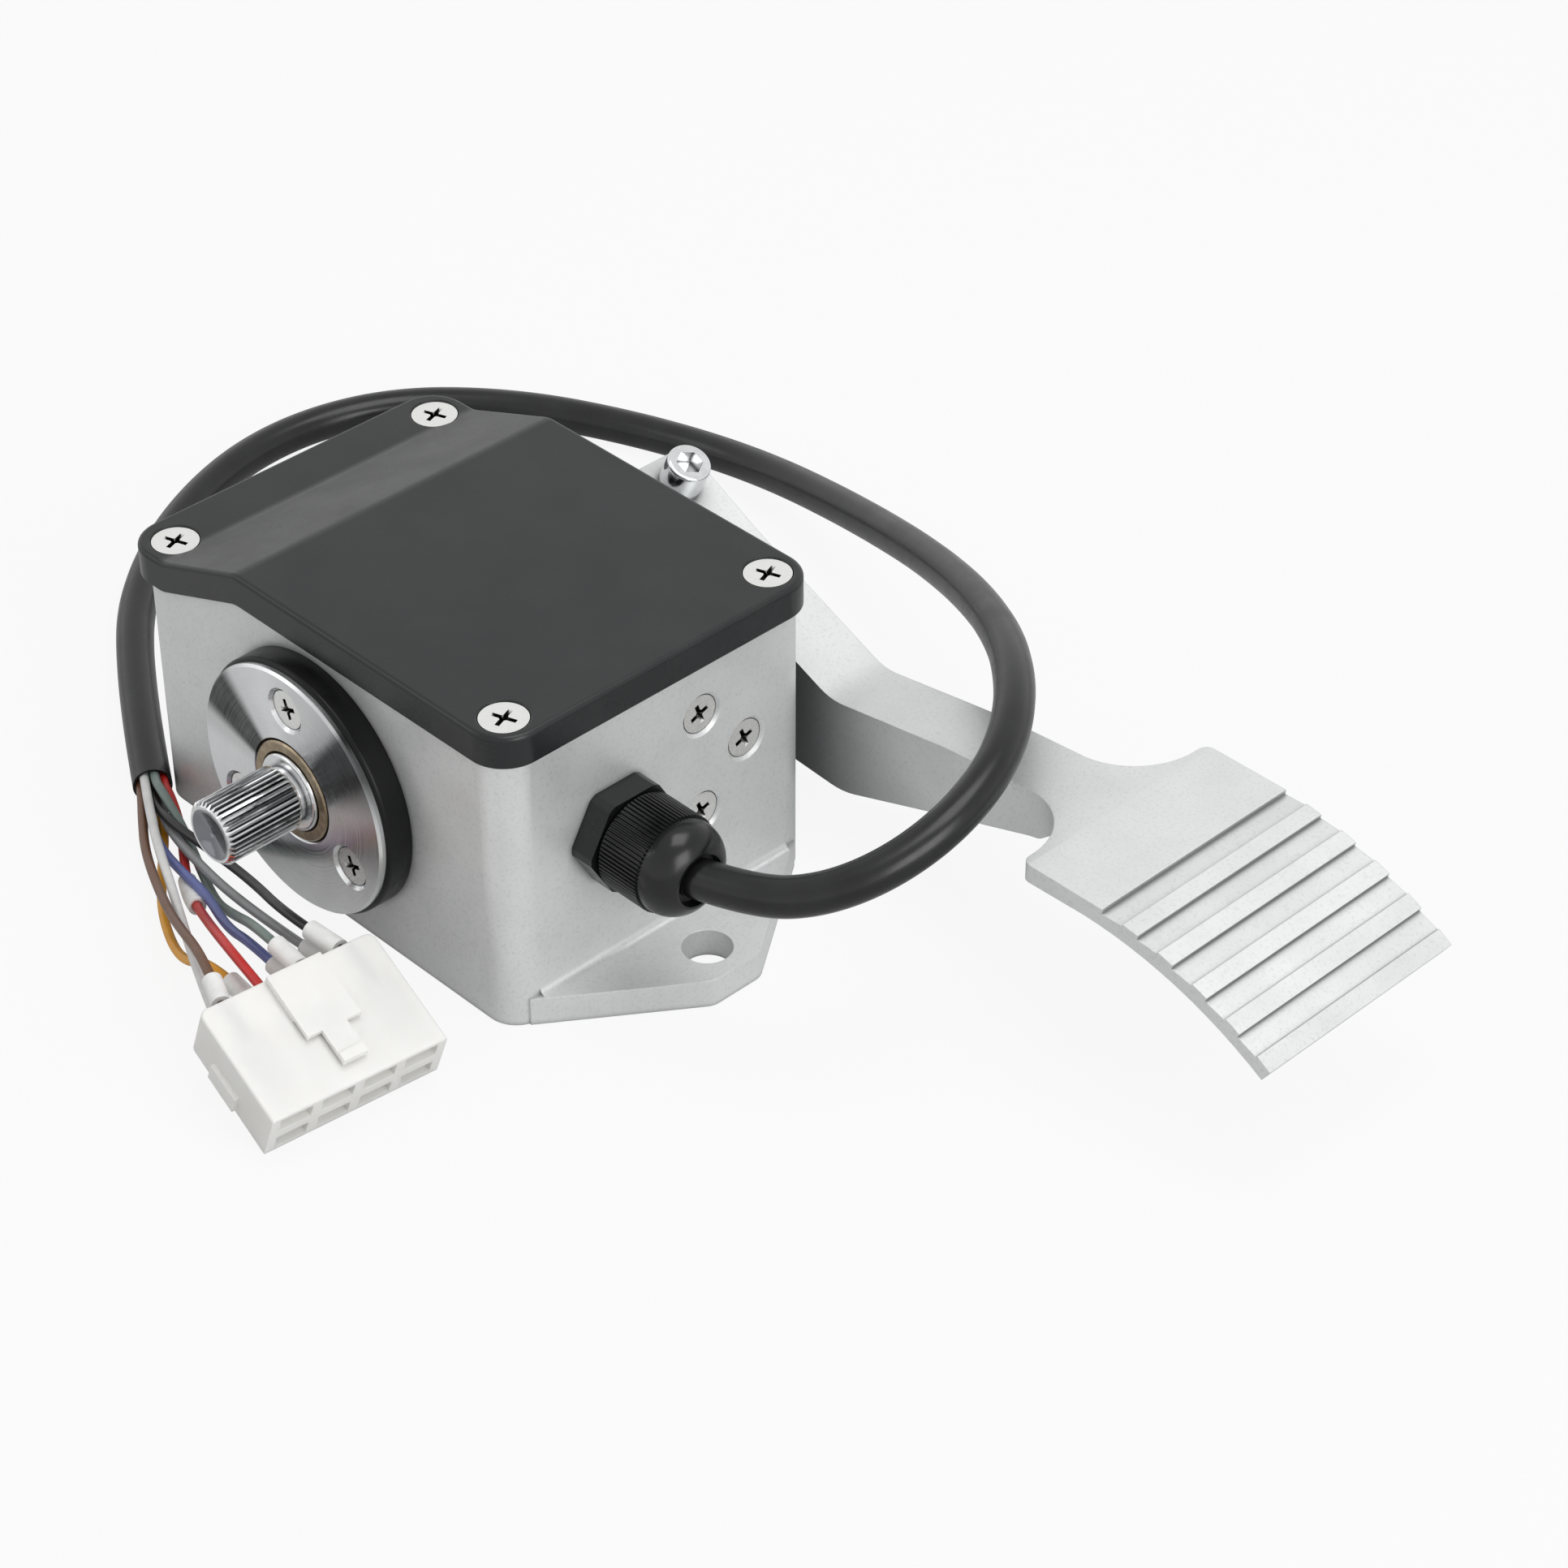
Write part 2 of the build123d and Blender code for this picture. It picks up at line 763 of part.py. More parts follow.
def make_return_spring(side):
    """Close-wound torsion spring: inner leg in the lever's hub, outer leg standing on the floor."""
    wire = spring_wire / 2
    outside = []
    inside = []
    for turn in range(spring_turns):
        base = turn * spring_wire
        for share, bulge in ((0.0, 0.35), (0.25, 0.9), (0.5, 1.0), (0.75, 0.9)):
            outside.append((spring_mean_r + bulge * wire, base + share * spring_wire))
            inside.append((spring_mean_r - bulge * wire, base + share * spring_wire))
    height = spring_turns * spring_wire
    outside.append((spring_mean_r + 0.35 * wire, height))
    inside.append((spring_mean_r - 0.35 * wire, height))
    coil = turned(outside + inside[::-1])
    coil = Pos(0, side * spring_first_y, axis_z) * Rot(-90 * side, 0, 0) * coil
    hub_face = lever_width / 2
    near = side * (hub_face - 3)
    leg_r = wire - spring_leg_inset
    leg_end_y = side * (spring_first_y + 0.8 * wire)
    inner_leg = rod_y(leg_r, near, leg_end_y, 0, axis_z - spring_mean_r)
    leg_y = side * (spring_first_y + height - 1.2 * wire)
    outer_leg = rod_z(leg_r, floor_thick, axis_z, -spring_mean_r, leg_y)
    return coil + inner_leg + outer_leg


def make_bracket():
    """Plate behind the front wall that takes the three wall screws."""
    inner_x = half_x - wall
    low = (inner_x - bracket_thick, sensor_y - sensor_width / 2, sensor_z - sensor_height / 2)
    high = (inner_x, sensor_y + sensor_width / 2, sensor_z + sensor_height / 2)
    plate = box_between(low, high)
    plate = fillet(plate.edges().filter_by(Axis.X), 3)
    for place in bracket_screw_locations():
        plate -= place * csk_hole(m5_head_r, m5_shank_r, bracket_screw_length + 3, sunk_depth)
    return plate


def make_bracket_screws():
    """Three countersunk screws through the front wall."""
    screw = csk_screw(m5_head_r, m5_shank_r, bracket_screw_length)
    return Compound([place * screw for place in bracket_screw_locations()])


def module_bounds():
    """Lowest and highest corner of the potted sensor module."""
    back_x = half_x - wall - bracket_thick
    half_w = sensor_width / 2 - module_inset
    half_h = sensor_height / 2 - module_inset
    low = (back_x - module_depth, sensor_y - half_w, sensor_z - half_h)
    high = (back_x, sensor_y + half_w, sensor_z + half_h)
    return low, high


def board_screw_spots():
    """Y and Z of the two screws that hold the sensor board on its module."""
    low, high = module_bounds()
    return [(low[1] + 4, high[2] - 4), (high[1] - 4, high[2] - 4)]


def make_sensor_module():
    """Potted plastic body of the position sensor."""
    low, high = module_bounds()
    body = box_between(low, high)
    body = fillet(body.edges().filter_by(Axis.X), 2)
    for y, z in board_screw_spots():
        body -= rod_x(1.25 + slip, low[0] - 1, low[0] + 6, y, z)
    return body


def make_sensor_board():
    """Circuit board on the face that looks at the magnet, with its chip and parts."""
    low, high = module_bounds()
    face_x = low[0] - board_thick
    board = box_between((face_x, low[1] + 1, low[2] + 1), (low[0], high[1] - 1, high[2] - 1))
    chip_y = lever_width / 4
    chip = box_between((face_x - 1.0, chip_y - 1.4, axis_z - 2.5), (face_x, chip_y + 2.6, axis_z + 2.5))
    board += chip
    for step in range(3):
        y = low[1] + 10 + 4.5 * step
        board += box_between((face_x - 0.7, y, sensor_z + 2), (face_x, y + 2.0, sensor_z + 3.2))
    for y, z in board_screw_spots():
        board -= rod_x(1.25 + play, face_x - 2, low[0] + 1, y, z)
    return board


def make_board_screws():
    """Two small pan head screws."""
    low, high = module_bounds()
    face_x = low[0] - board_thick
    screws = []
    for y, z in board_screw_spots():
        screw = rod_x(1.25, face_x, face_x + 6, y, z) + rod_x(2.2, face_x - 1.4, face_x, y, z)
        screws.append(screw)
    return Compound(screws)


def make_gland_body():
    """Hexagon with a thread into the housing and a nozzle for the dome nut."""
    start = half_x - gland_thread_in
    nozzle_end = half_x + gland_hex_thick + gland_thread_out
    flats = RegularPolygon(gland_hex / 2, 6, major_radius=False, rotation=90)
    hexagon = extrude(flats, amount=gland_hex_thick)
    corner_cut = Cylinder(gland_hex / 2 * 1.11, gland_hex_thick * 2)
    hexagon = Pos(half_x, gland_y, gland_z) * Rot(0, 90, 0) * (hexagon & corner_cut)
    solid = hexagon + rod_x(gland_thread_r, start, half_x, gland_y, gland_z)
    solid += rod_x(gland_thread_r, half_x, nozzle_end, gland_y, gland_z)
    solid -= rod_x(seal_outer_r() + slip, start - 1, nozzle_end + 1, gland_y, gland_z)
    return solid


def seal_outer_r():
    """Outer radius of the cable seal."""
    return gland_mouth_r - slip


def make_gland_nut():
    """Dome nut with fine grip ribs."""
    start = half_x + gland_hex_thick + slip
    dome_start = gland_nut_length - slip
    ribbed = toothed_face(gland_ribs, gland_nut_r - gland_rib_depth, gland_nut_r, 0.3, 0.3)
    grip = extrude(ribbed, amount=dome_start)
    edge = gland_nut_r - 1.0
    skirt = turned([(0, 0), (edge, 0), (gland_nut_r, 1.0), (gland_nut_r, dome_start), (0, dome_start)])
    grip &= skirt
    solid = grip + gland_dome(dome_start)
    solid -= Pos(0, 0, (gland_thread_out + 1) / 2 - 1) * Cylinder(gland_thread_r + slip, gland_thread_out + 3)
    solid -= Cylinder(gland_mouth_r, 4 * gland_nut_length)
    return Pos(start, gland_y, gland_z) * Rot(0, 90, 0) * solid


def gland_dome(start):
    """Smooth band and rounded crown of the dome nut."""
    dome_r = gland_nut_r - gland_rib_depth - 0.1
    band_end = start + gland_band_length
    top = start + gland_dome_length
    rest = Polyline(
        (gland_crown_r, 0, top),
        (0, 0, top),
        (0, 0, start - 1),
        (dome_r, 0, start - 1),
        (dome_r, 0, band_end),
    )
    crown = TangentArc((dome_r, 0, band_end), (gland_crown_r, 0, top), tangent=(0, 0, 1))
    return revolve(make_face((Curve() + rest + crown).edges()), Axis.Z)


def make_gland_seal():
    """Rubber sleeve that grips the cable inside the nut."""
    start = half_x + gland_hex_thick + 2
    outer = rod_x(seal_outer_r(), start, cable_start_x - 0.5, gland_y, gland_z)
    return outer - rod_x(cable_r + slip, start - 1, gland_mouth_x, gland_y, gland_z)


def make_gland_locknut():
    """Hexagonal nut inside the housing."""
    end = half_x - wall
    hexagon = extrude(RegularPolygon(gland_hex / 2, 6, major_radius=False), amount=locknut_thick)
    nut = Pos(end - locknut_thick, gland_y, gland_z) * Rot(0, 90, 0) * hexagon
    return nut - rod_x(gland_thread_r + slip, end - locknut_thick - 1, end + 1, gland_y, gland_z)


def fillet_radii(points, share=0.45):
    """Largest tangent arc for each corner of a route."""
    radii = []
    for a, b, c in zip(points, points[1:], points[2:]):
        back = Vector(*b) - Vector(*a)
        ahead = Vector(*c) - Vector(*b)
        half_turn = math.radians(back.get_angle(ahead)) / 2
        radii.append(share * min(back.length, ahead.length) / math.tan(half_turn))
    return radii


def tube_along(points, radius, name):
    """Round tube along straight runs joined by tangent arcs, with its radii printed."""
    radii = fillet_radii(points)
    path = FilletPolyline(*points, radius=radii)
    start = Plane(path @ 0, z_dir=path % 0)
    tube = sweep(start * Circle(radius), path=path)
    expected = math.pi * radius ** 2 * path.length
    print(name, "length", round(path.length, 1), "smallest radius", round(min(radii), 1),
          "volume share", round(tube.volume / expected, 4))
    return tube


def cable_start_plane():
    """Plane of the cable's end face in the gland's mouth."""
    along = Vector(*cable_route[1]) - Vector(*cable_route[0])
    return Plane(cable_route[0], z_dir=along)


def sheath_inner_x():
    """Place inside the housing where the sheath ends and the sensor's own lead goes on."""
    return half_x - gland_thread_in - 0.5


def make_cable_inside():
    """Straight piece of cable through the gland."""
    tube = rod_x(cable_r, sheath_inner_x(), cable_start_x + 3, gland_y, gland_z)
    beyond = cable_start_plane() * Pos(0, 0, 20) * Box(60, 60, 40)
    return tube - beyond


def make_sensor_lead():
    """Thin lead from the cable's inner end round to the side of the sensor module."""
    low, high = module_bounds()
    bend_x = low[0] + lead_r + 0.7
    points = [
        (sheath_inner_x(), gland_y, gland_z),
        (bend_x, gland_y, gland_z),
        (bend_x, low[1], gland_z),
    ]
    path = FilletPolyline(*points, radius=lead_bend_r)
    return sweep(Plane(path @ 0, z_dir=path % 0) * Circle(lead_r), path=path)


def bundle_start(index):
    """Start point of a wire in the cable's end face; the last index is the middle one."""
    along = cable_end_direction()
    across = Vector(-along.Y, along.X, 0)
    end = Vector(*cable_route[-1])
    if index == 7:
        return end
    angle = math.radians(bundle_first_deg + 360 / 7 * index)
    return end + across * (bundle_r * math.cos(angle)) + Vector(0, 0, bundle_r * math.sin(angle))


def cable_end_direction():
    """Direction in which the cable ends."""
    return (Vector(*cable_route[-1]) - Vector(*cable_route[-2])).normalized()


def make_sheath_end():
    """Open last stretch of the sheath, where the wires come out."""
    ring = Cylinder(cable_r, sheath_end_length) - Cylinder(sheath_bore / 2, sheath_end_length + 1)
    place = Plane(cable_route[-1], z_dir=cable_end_direction())
    return place * Pos(0, 0, sheath_end_length / 2) * ring


# Wires: name, place in the bundle, points chosen by hand, column and row in the connector, swing at its end
wire_plan = {
    "red": (
        0, [(-52, -51.2, 5.8), (-43.5, -56, 2.8), (-35.5, -62.3, 1.5), (-26, -69.4, 2.8), (-14, -76.4, 7.4)], 1, 1, -6,
    ),
    "green": (
        1, [(-51, -53.8, 8.4), (-42.5, -56.8, 5.2), (-32, -61.2, 2.9), (-19.5, -66.3, 3), (-6, -70.8, 8.4)], 2, 1, 0,
    ),
    "white": (2, [(-50.5, -59.8, 8.8), (-38, -66.6, 9.4), (-20, -76.2, 10.6)], 0, 0, -20),
    "brown": (3, [(-52, -60.8, 5.6), (-38, -69.6, 6.4), (-19, -80.4, 12.8)], 0, 1, -20),
    "blue": (4, [(-51, -60, 2.6), (-40.5, -65.2, 4.2), (-29, -68.2, 6.2), (-7, -74, 8.8)], 2, 0, 0),
    "yellow": (5, [(-47, -59.2, 1.3), (-32, -72, 1.3), (-20.5, -79.8, 1.6), (-4, -87.6, 4.4)], 1, 0, 0),
    "grey": (6, [(-50.5, -56.2, 4.4), (-40, -61, 6.2), (-28, -63.2, 5.6), (-14, -66.2, 7.4)], 3, 0, 9),
    "black": (7, [(-50, -58.2, 6.8), (-41, -60.4, 9.2), (-24, -60.6, 9.4), (-7, -63.8, 12)], 3, 1, 9),
}
wire_lead_in = 20.0
wire_depth = 4.0
wire_hole_r = wire_r + 1.5


def connector_frame():
    """Location of the connector: X from the wire side to the mating face, Z through its height."""
    turn = Rot(0, 0, conn_turn_deg) * Rot(0, conn_tilt_deg, 0)
    return Pos(conn_x, conn_y, 0) * turn * Pos(-conn_length, 0, 0)


def cavity_center(column, row):
    """Y and Z of one cavity in the connector's own frame."""
    pitch = (conn_width - 2.0) / conn_columns
    y = 1.0 + pitch * (column + 0.5)
    z = conn_height / 2 + (row_rise if row else -row_rise)
    return y, z


def wire_end(name):
    """Where a wire goes into the connector, where it bends inside, its contact's back and its direction."""
    _, _, column, row, swing_deg = wire_plan[name]
    y, z = cavity_center(column, row)
    sideways = wire_depth * math.tan(math.radians(swing_deg))
    upwards = wire_depth * math.tan(math.radians(conn_tilt_deg)) / math.cos(math.radians(swing_deg))
    frame = connector_frame()
    point = (frame * Pos(0, y - sideways / 2, z - upwards / 2)).position
    bend = (frame * Pos(wire_depth, y + sideways / 2, z + upwards / 2)).position
    back = (frame * Pos(terminal_back(), y + sideways / 2, z + upwards / 2)).position
    return point, bend, back, (bend - point).normalized()


def wire_points(name):
    """Whole route of one wire from the sheath to its cavity."""
    index, middle = wire_plan[name][:2]
    start = bundle_start(index)
    second = start + cable_end_direction() * (sheath_end_length + 2)
    point, bend, back, heading = wire_end(name)
    points = [start, second] + [Vector(*p) for p in middle] + [point - heading * wire_lead_in, bend, back]
    return [(p.X, p.Y, p.Z) for p in points]


def terminal_back():
    """Distance of the contacts' back faces from the connector's wire side."""
    return conn_length - cavity_depth + 0.1


def make_sleeve(name, near, length):
    """White marker sleeve on the straight end of a wire."""
    point, _, _, heading = wire_end(name)
    inner = wire_r + sleeve_gap
    tube = Cylinder(inner + sleeve_wall, length) - Cylinder(inner, length + 1)
    middle = point - heading * (near + length / 2)
    return Plane(middle, z_dir=heading) * tube


def make_connector():
    """Eight-way housing with open cavities, side rails and a stepped latch."""
    body = box_between((0, 0, 0), (conn_length, conn_width, conn_height))
    rear = body.edges().filter_by(Axis.Z).group_by(Axis.X)[0]
    body = fillet(rear, conn_edge_r * 1.4)
    top = body.faces().sort_by(Axis.Z)[-1].edges()
    body = fillet(top, conn_edge_r * 0.4)
    for column in range(conn_columns):
        for row in (0, 1):
            y, z = cavity_center(column, row)
            low = (conn_length - cavity_depth, y - cavity_width / 2, z - cavity_height / 2)
            high = (conn_length + 1, y + cavity_width / 2, z + cavity_height / 2)
            body -= box_between(low, high)
            body -= rod_x(wire_hole_r, -1, conn_length - cavity_depth + 1, y, z)
    rail_low = 0.3 * conn_length
    rail_high = 0.62 * conn_length
    body += box_between((rail_low, -1.2, 1.0), (rail_high, 0.5, 6.0))
    body += box_between((rail_low, conn_width - 0.5, 1.0), (rail_high, conn_width + 1.2, 6.0))
    return connector_frame() * (body + connector_latch())


def connector_latch():
    """Raised latch: a wide heel and a narrow hooked tongue with a gap under it."""
    top = conn_height
    high = top + latch_rise
    heel = box_between((heel_x[0], heel_y[0], top - 1), (heel_x[1], heel_y[1], high))
    tongue = box_between((tongue_x[0], tongue_y[0], top + latch_gap), (tongue_x[1], tongue_y[1], high))
    hook = box_between((hook_x, tongue_y[0], high - 1), (tongue_x[1], tongue_y[1], high + hook_rise))
    undercut = box_between((undercut_x[0], heel_y[0], top), (undercut_x[1], heel_y[1], top + latch_gap))
    return heel + tongue + hook - undercut


def make_terminals():
    """Eight folded metal contacts, one in each cavity."""
    contacts = []
    back = terminal_back()
    front = conn_length - terminal_set_back
    hollow_y = terminal_half_width - terminal_wall
    hollow_z = terminal_half_height - terminal_wall
    for column in range(conn_columns):
        for row in (0, 1):
            y, z = cavity_center(column, row)
            low = (back, y - terminal_half_width, z - terminal_half_height)
            high = (front, y + terminal_half_width, z + terminal_half_height)
            inner_low = (back + 6, y - hollow_y, z - hollow_z)
            inner_high = (front + 1, y + hollow_y, z + hollow_z)
            tab = box_between(low, high) - box_between(inner_low, inner_high)
            contacts.append(connector_frame() * tab)
    return Compound(contacts)


def arm_axes():
    """Unit vectors along the clamp's sloping top and square to it."""
    slope = math.radians(arm_slope_deg)
    along = Vector(math.cos(slope), 0, -math.sin(slope))
    square = Vector(math.sin(slope), 0, math.cos(slope))
    return along, square


def clamp_point(along_by, square_by):
    """Point of the clamp, measured from the shaft axis in its sloping directions."""
    along, square = arm_axes()
    return Vector(0, 0, axis_z) + along * along_by + square * square_by


def pad_point(radius, degrees):
    """Point on an arc of the pad, degrees forward from its crown."""
    angle = math.radians(degrees)
    return (pad_arc_x + radius * math.sin(angle), 0, pad_arc_z + radius * math.cos(angle))


def pad_top_points():
    """Saw-toothed upper side of the pad, from the flat's front edge to the tip."""
    edge_deg = math.degrees(math.asin((pad_flat_end_x - pad_arc_x) / pad_arc_r))
    points = [(pad_flat_end_x, 0, pad_top_z), pad_point(pad_arc_r - rib_fall, edge_deg)]
    for rib in range(pad_ribs):
        start = rib_first_deg + rib * rib_pitch_deg
        end = start + rib_width_deg
        points.append(pad_point(pad_arc_r - rib_rise, start))
        points.append(pad_point(pad_arc_r, start))
        points.append(pad_point(pad_arc_r, end))
        if rib < pad_ribs - 1:
            points.append(pad_point(pad_arc_r - rib_fall, end))
    return points


def pad_tip_deg():
    """Angle of the pad's tip."""
    return rib_first_deg + (pad_ribs - 1) * rib_pitch_deg + rib_width_deg


def arm_outline():
    """Side view of arm and pad as one closed outline."""
    rear_top = clamp_point(-clamp_rear, clamp_top)
    rear_low = clamp_point(-clamp_rear, -clamp_bottom)
    hub_low = Vector(-4.0, 0, 21.0)
    joint = rear_low + (hub_low - rear_low) * 0.4
    inner_r = pad_arc_r - pad_thick
    top = FilletPolyline(
        (rear_top.X + 4, 0, rear_top.Z - 4 * math.tan(math.radians(arm_slope_deg))),
        (20.0, 0, 57.2),
        (61.8, 0, 39.4),
        (100.0, 0, 45.4),
        (pad_root_x + 2, 0, pad_top_z),
        radius=[60.0, 14.0, 60.0],
    )
    pad_top = Polyline((pad_root_x + 2, 0, pad_top_z), *pad_top_points())
    tip_low = pad_point(inner_r + 0.6, pad_tip_deg())
    tip = Line(pad_point(pad_arc_r, pad_tip_deg()), tip_low)
    pad_root_low = (pad_arc_x, 0, pad_top_z - pad_thick)
    under = ThreePointArc(tip_low, pad_point(inner_r, pad_tip_deg() / 2), pad_root_low)
    bottom = FilletPolyline(
        pad_root_low,
        (137.5, 0, 44.3),
        (129.0, 0, 36.0),
        (95.0, 0, 24.6),
        (66.0, 0, 14.6),
        (30.0, 0, 17.0),
        (hub_low.X, 0, hub_low.Z),
        (joint.X, 0, joint.Z),
        radius=[6.0, 8.0, 80.0, 20.0, 60.0, 12.0],
    )
    rear = FilletPolyline(
        (joint.X, 0, joint.Z),
        (rear_low.X, 0, rear_low.Z),
        (rear_top.X, 0, rear_top.Z),
        (rear_top.X + 4, 0, rear_top.Z - 4 * math.tan(math.radians(arm_slope_deg))),
        radius=[5.0, 3.0],
    )
    return Curve() + top + pad_top + tip + under + bottom + rear


def arm_plan():
    """Plan view: straight arm, flared neck and the pad with rounded corners."""
    tip_x = pad_point(pad_arc_r, pad_tip_deg())[0] + 5
    far = arm_outer_y
    near = arm_inner_y
    pad_far = pad_mid_y + pad_width / 2
    pad_near = pad_mid_y - pad_width / 2
    neck_x = pad_root_x - neck_r
    bend = neck_r * math.sqrt(0.5)
    far_arc = ThreePointArc(
        (neck_x, far, 0), (neck_x + bend, far + neck_r - bend, 0), (pad_root_x, far + neck_r, 0)
    )
    near_arc = ThreePointArc(
        (pad_root_x, near - neck_r, 0), (neck_x + bend, near - neck_r + bend, 0), (neck_x, near, 0)
    )
    far_side = FilletPolyline(
        (pad_root_x, far + neck_r, 0), (pad_root_x, pad_far, 0), (tip_x, pad_far, 0), radius=pad_corner_r
    )
    near_side = FilletPolyline(
        (tip_x, pad_near, 0), (pad_root_x, pad_near, 0), (pad_root_x, near - neck_r, 0), radius=pad_corner_r
    )
    end = Line((tip_x, pad_far, 0), (tip_x, pad_near, 0))
    back = Polyline((neck_x, near, 0), (-60, near, 0), (-60, far, 0), (neck_x, far, 0))
    return Curve() + far_arc + far_side + end + near_side + near_arc + back


def clamp_screw_place():
    """Location of the clamp screw's seat, with Z along the screw's axis."""
    along, square = arm_axes()
    seat = clamp_point(-clamp_screw_offset, clamp_top)
    return Plane((seat.X, pad_mid_y, seat.Z), x_dir=along, z_dir=square)


def make_pedal_arm():
    """Cast arm with a split clamp at the shaft and a ribbed pad."""
    pad_far = pad_mid_y + pad_width / 2
    pad_near = pad_mid_y - pad_width / 2
    side = profile_y(arm_outline(), pad_near - 1, pad_far + 1)
    plan = Pos(0, 0, -10) * extrude(make_face(arm_plan().edges()), amount=120)
    solid = side & plan
    teeth = toothed_face(spline_teeth, spline_r - spline_depth + slip, spline_r + slip, 0.28, 0.3)
    bore = Pos(0, arm_inner_y - 1, axis_z) * Rot(-90, 0, 0) * extrude(teeth, amount=arm_width + 2)
    solid -= bore
    along, square = arm_axes()
    slit_place = Plane((0, pad_mid_y, axis_z), x_dir=along, z_dir=square)
    solid -= slit_place * Pos(-clamp_rear, 0, 0) * Box(2 * clamp_rear, arm_width + 2, clamp_slit)
    place = clamp_screw_place()
    solid -= place * Pos(0, 0, 5) * Cylinder(cap_head_r + 1.0, 10)
    solid -= place * Pos(0, 0, -cap_length / 2) * Cylinder(cap_shank_r + play, cap_length + 4)
    return solid


def make_clamp_screw():
    """Socket head cap screw of the clamp."""
    head = Pos(0, 0, washer_thick + cap_head_height / 2) * Cylinder(cap_head_r, cap_head_height)
    rim = head.edges().group_by(Axis.Z)[-1]
    head = fillet(rim, 0.7)
    shank_length = cap_length
    shank = Pos(0, 0, washer_thick - shank_length / 2) * Cylinder(cap_shank_r, shank_length)
    depth = 3.8
    socket = Pos(0, 0, washer_thick + cap_head_height - depth) * extrude(
        RegularPolygon(cap_socket / 2, 6, major_radius=False), amount=depth + 1
    )
    return clamp_screw_place() * (head + shank - socket)


def make_spring_washer():
    """Split ring under the screw head."""
    ring = Cylinder(washer_r, washer_thick) - Cylinder(cap_shank_r + play, washer_thick + 1)
    ring -= Rot(0, 0, 200) * Pos(washer_r, 0, 0) * Rot(25, 0, 0) * Box(washer_r, 0.6, washer_thick * 3)
    return clamp_screw_place() * Pos(0, 0, washer_thick / 2) * ring


def build_nodes():
    """Every sub-part by its node name."""
    nodes = {
        "housing": make_housing(),
        "cover": make_cover(),
        "cover_gasket": make_cover_gasket(),
        "cover_screws": make_cover_screws(),
        "shaft": make_shaft(),
        "shaft_circlips": make_circlips(),
        "stop_lever": make_lever(),
        "lever_set_screws": make_grub_screws(),
        "lever_magnet": magnet_pocket(0),
        "pedal_arm": make_pedal_arm(),
        "clamp_screw": make_clamp_screw(),
        "spring_washer": make_spring_washer(),
        "sensor_bracket": make_bracket(),
        "bracket_screws": make_bracket_screws(),
        "sensor_module": make_sensor_module(),
        "sensor_board": make_sensor_board(),
        "board_screws": make_board_screws(),
        "gland_body": make_gland_body(),
        "gland_nut": make_gland_nut(),
        "gland_seal": make_gland_seal(),
        "gland_locknut": make_gland_locknut(),
        "cable_inside": make_cable_inside(),
        "sensor_lead": make_sensor_lead(),
        "cable": tube_along(cable_route, cable_r, "cable"),
        "cable_sheath_end": make_sheath_end(),
        "connector_housing": make_connector(),
        "connector_terminals": make_terminals(),
    }
    for side, word in ((-1, "left"), (1, "right")):
        nodes[word + "_flange_plate"] = make_flange_plate(side)
        nodes[word + "_flange_ring"] = make_flange_ring(side)
        nodes[word + "_bush"] = make_bush(side)
        nodes[word + "_flange_screws"] = make_flange_screws(side)
        nodes[word + "_return_spring"] = make_return_spring(side)
    for word, (x, top) in zip(("rest", "full_travel"), stop_posts()):
        nodes[word + "_bumper"] = make_bumper(x, top)
    for name in wire_plan:
        nodes["wire_" + name] = tube_along(wire_points(name), wire_r, "wire_" + name)
    for name, near, length in (
        ("brown", 1.3, 9.0), ("yellow", 1.3, 10.0), ("blue", 1.3, 9.0),
        ("green", 1.3, 10.0), ("grey", 1.3, 10.0), ("black", 1.3, 10.0),
    ):
        nodes["sleeve_" + name] = make_sleeve(name, near, length)
    return nodes


def main():
    """Builds and writes every node."""
    os.makedirs("parts", exist_ok=True)
    for name, solid in build_nodes().items():
        export_step(solid, "parts/" + name + ".step")


main()
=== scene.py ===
"""Throttle foot pedal: camera, studio light, cable and wires, and materials on the CAD nodes."""

import json
import math

import bmesh
import bpy
from mathutils import Euler, Matrix, Vector


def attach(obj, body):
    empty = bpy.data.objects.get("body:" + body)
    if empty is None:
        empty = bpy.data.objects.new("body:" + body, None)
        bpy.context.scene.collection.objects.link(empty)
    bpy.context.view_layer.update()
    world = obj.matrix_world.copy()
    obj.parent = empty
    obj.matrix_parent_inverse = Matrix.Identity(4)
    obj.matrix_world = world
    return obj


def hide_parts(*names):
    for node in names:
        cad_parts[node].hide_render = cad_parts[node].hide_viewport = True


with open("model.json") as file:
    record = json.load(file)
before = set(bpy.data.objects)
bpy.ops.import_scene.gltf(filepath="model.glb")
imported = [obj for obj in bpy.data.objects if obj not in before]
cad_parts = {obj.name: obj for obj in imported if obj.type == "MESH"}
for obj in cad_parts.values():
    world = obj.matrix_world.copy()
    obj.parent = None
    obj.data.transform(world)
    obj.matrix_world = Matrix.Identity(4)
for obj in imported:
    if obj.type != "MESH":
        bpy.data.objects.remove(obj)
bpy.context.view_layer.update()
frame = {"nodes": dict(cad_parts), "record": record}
nodes = frame["nodes"]

MM = 0.001
AXIS_Z = 38.1 * MM

# Camera at the photograph's viewing angle
CAMERA_PLACE = (0.6129, -0.49433, 0.60859)
CAMERA_TILT_DEG = 52.68
CAMERA_TURN_DEG = 45.82
CAMERA_LENS = 94.70

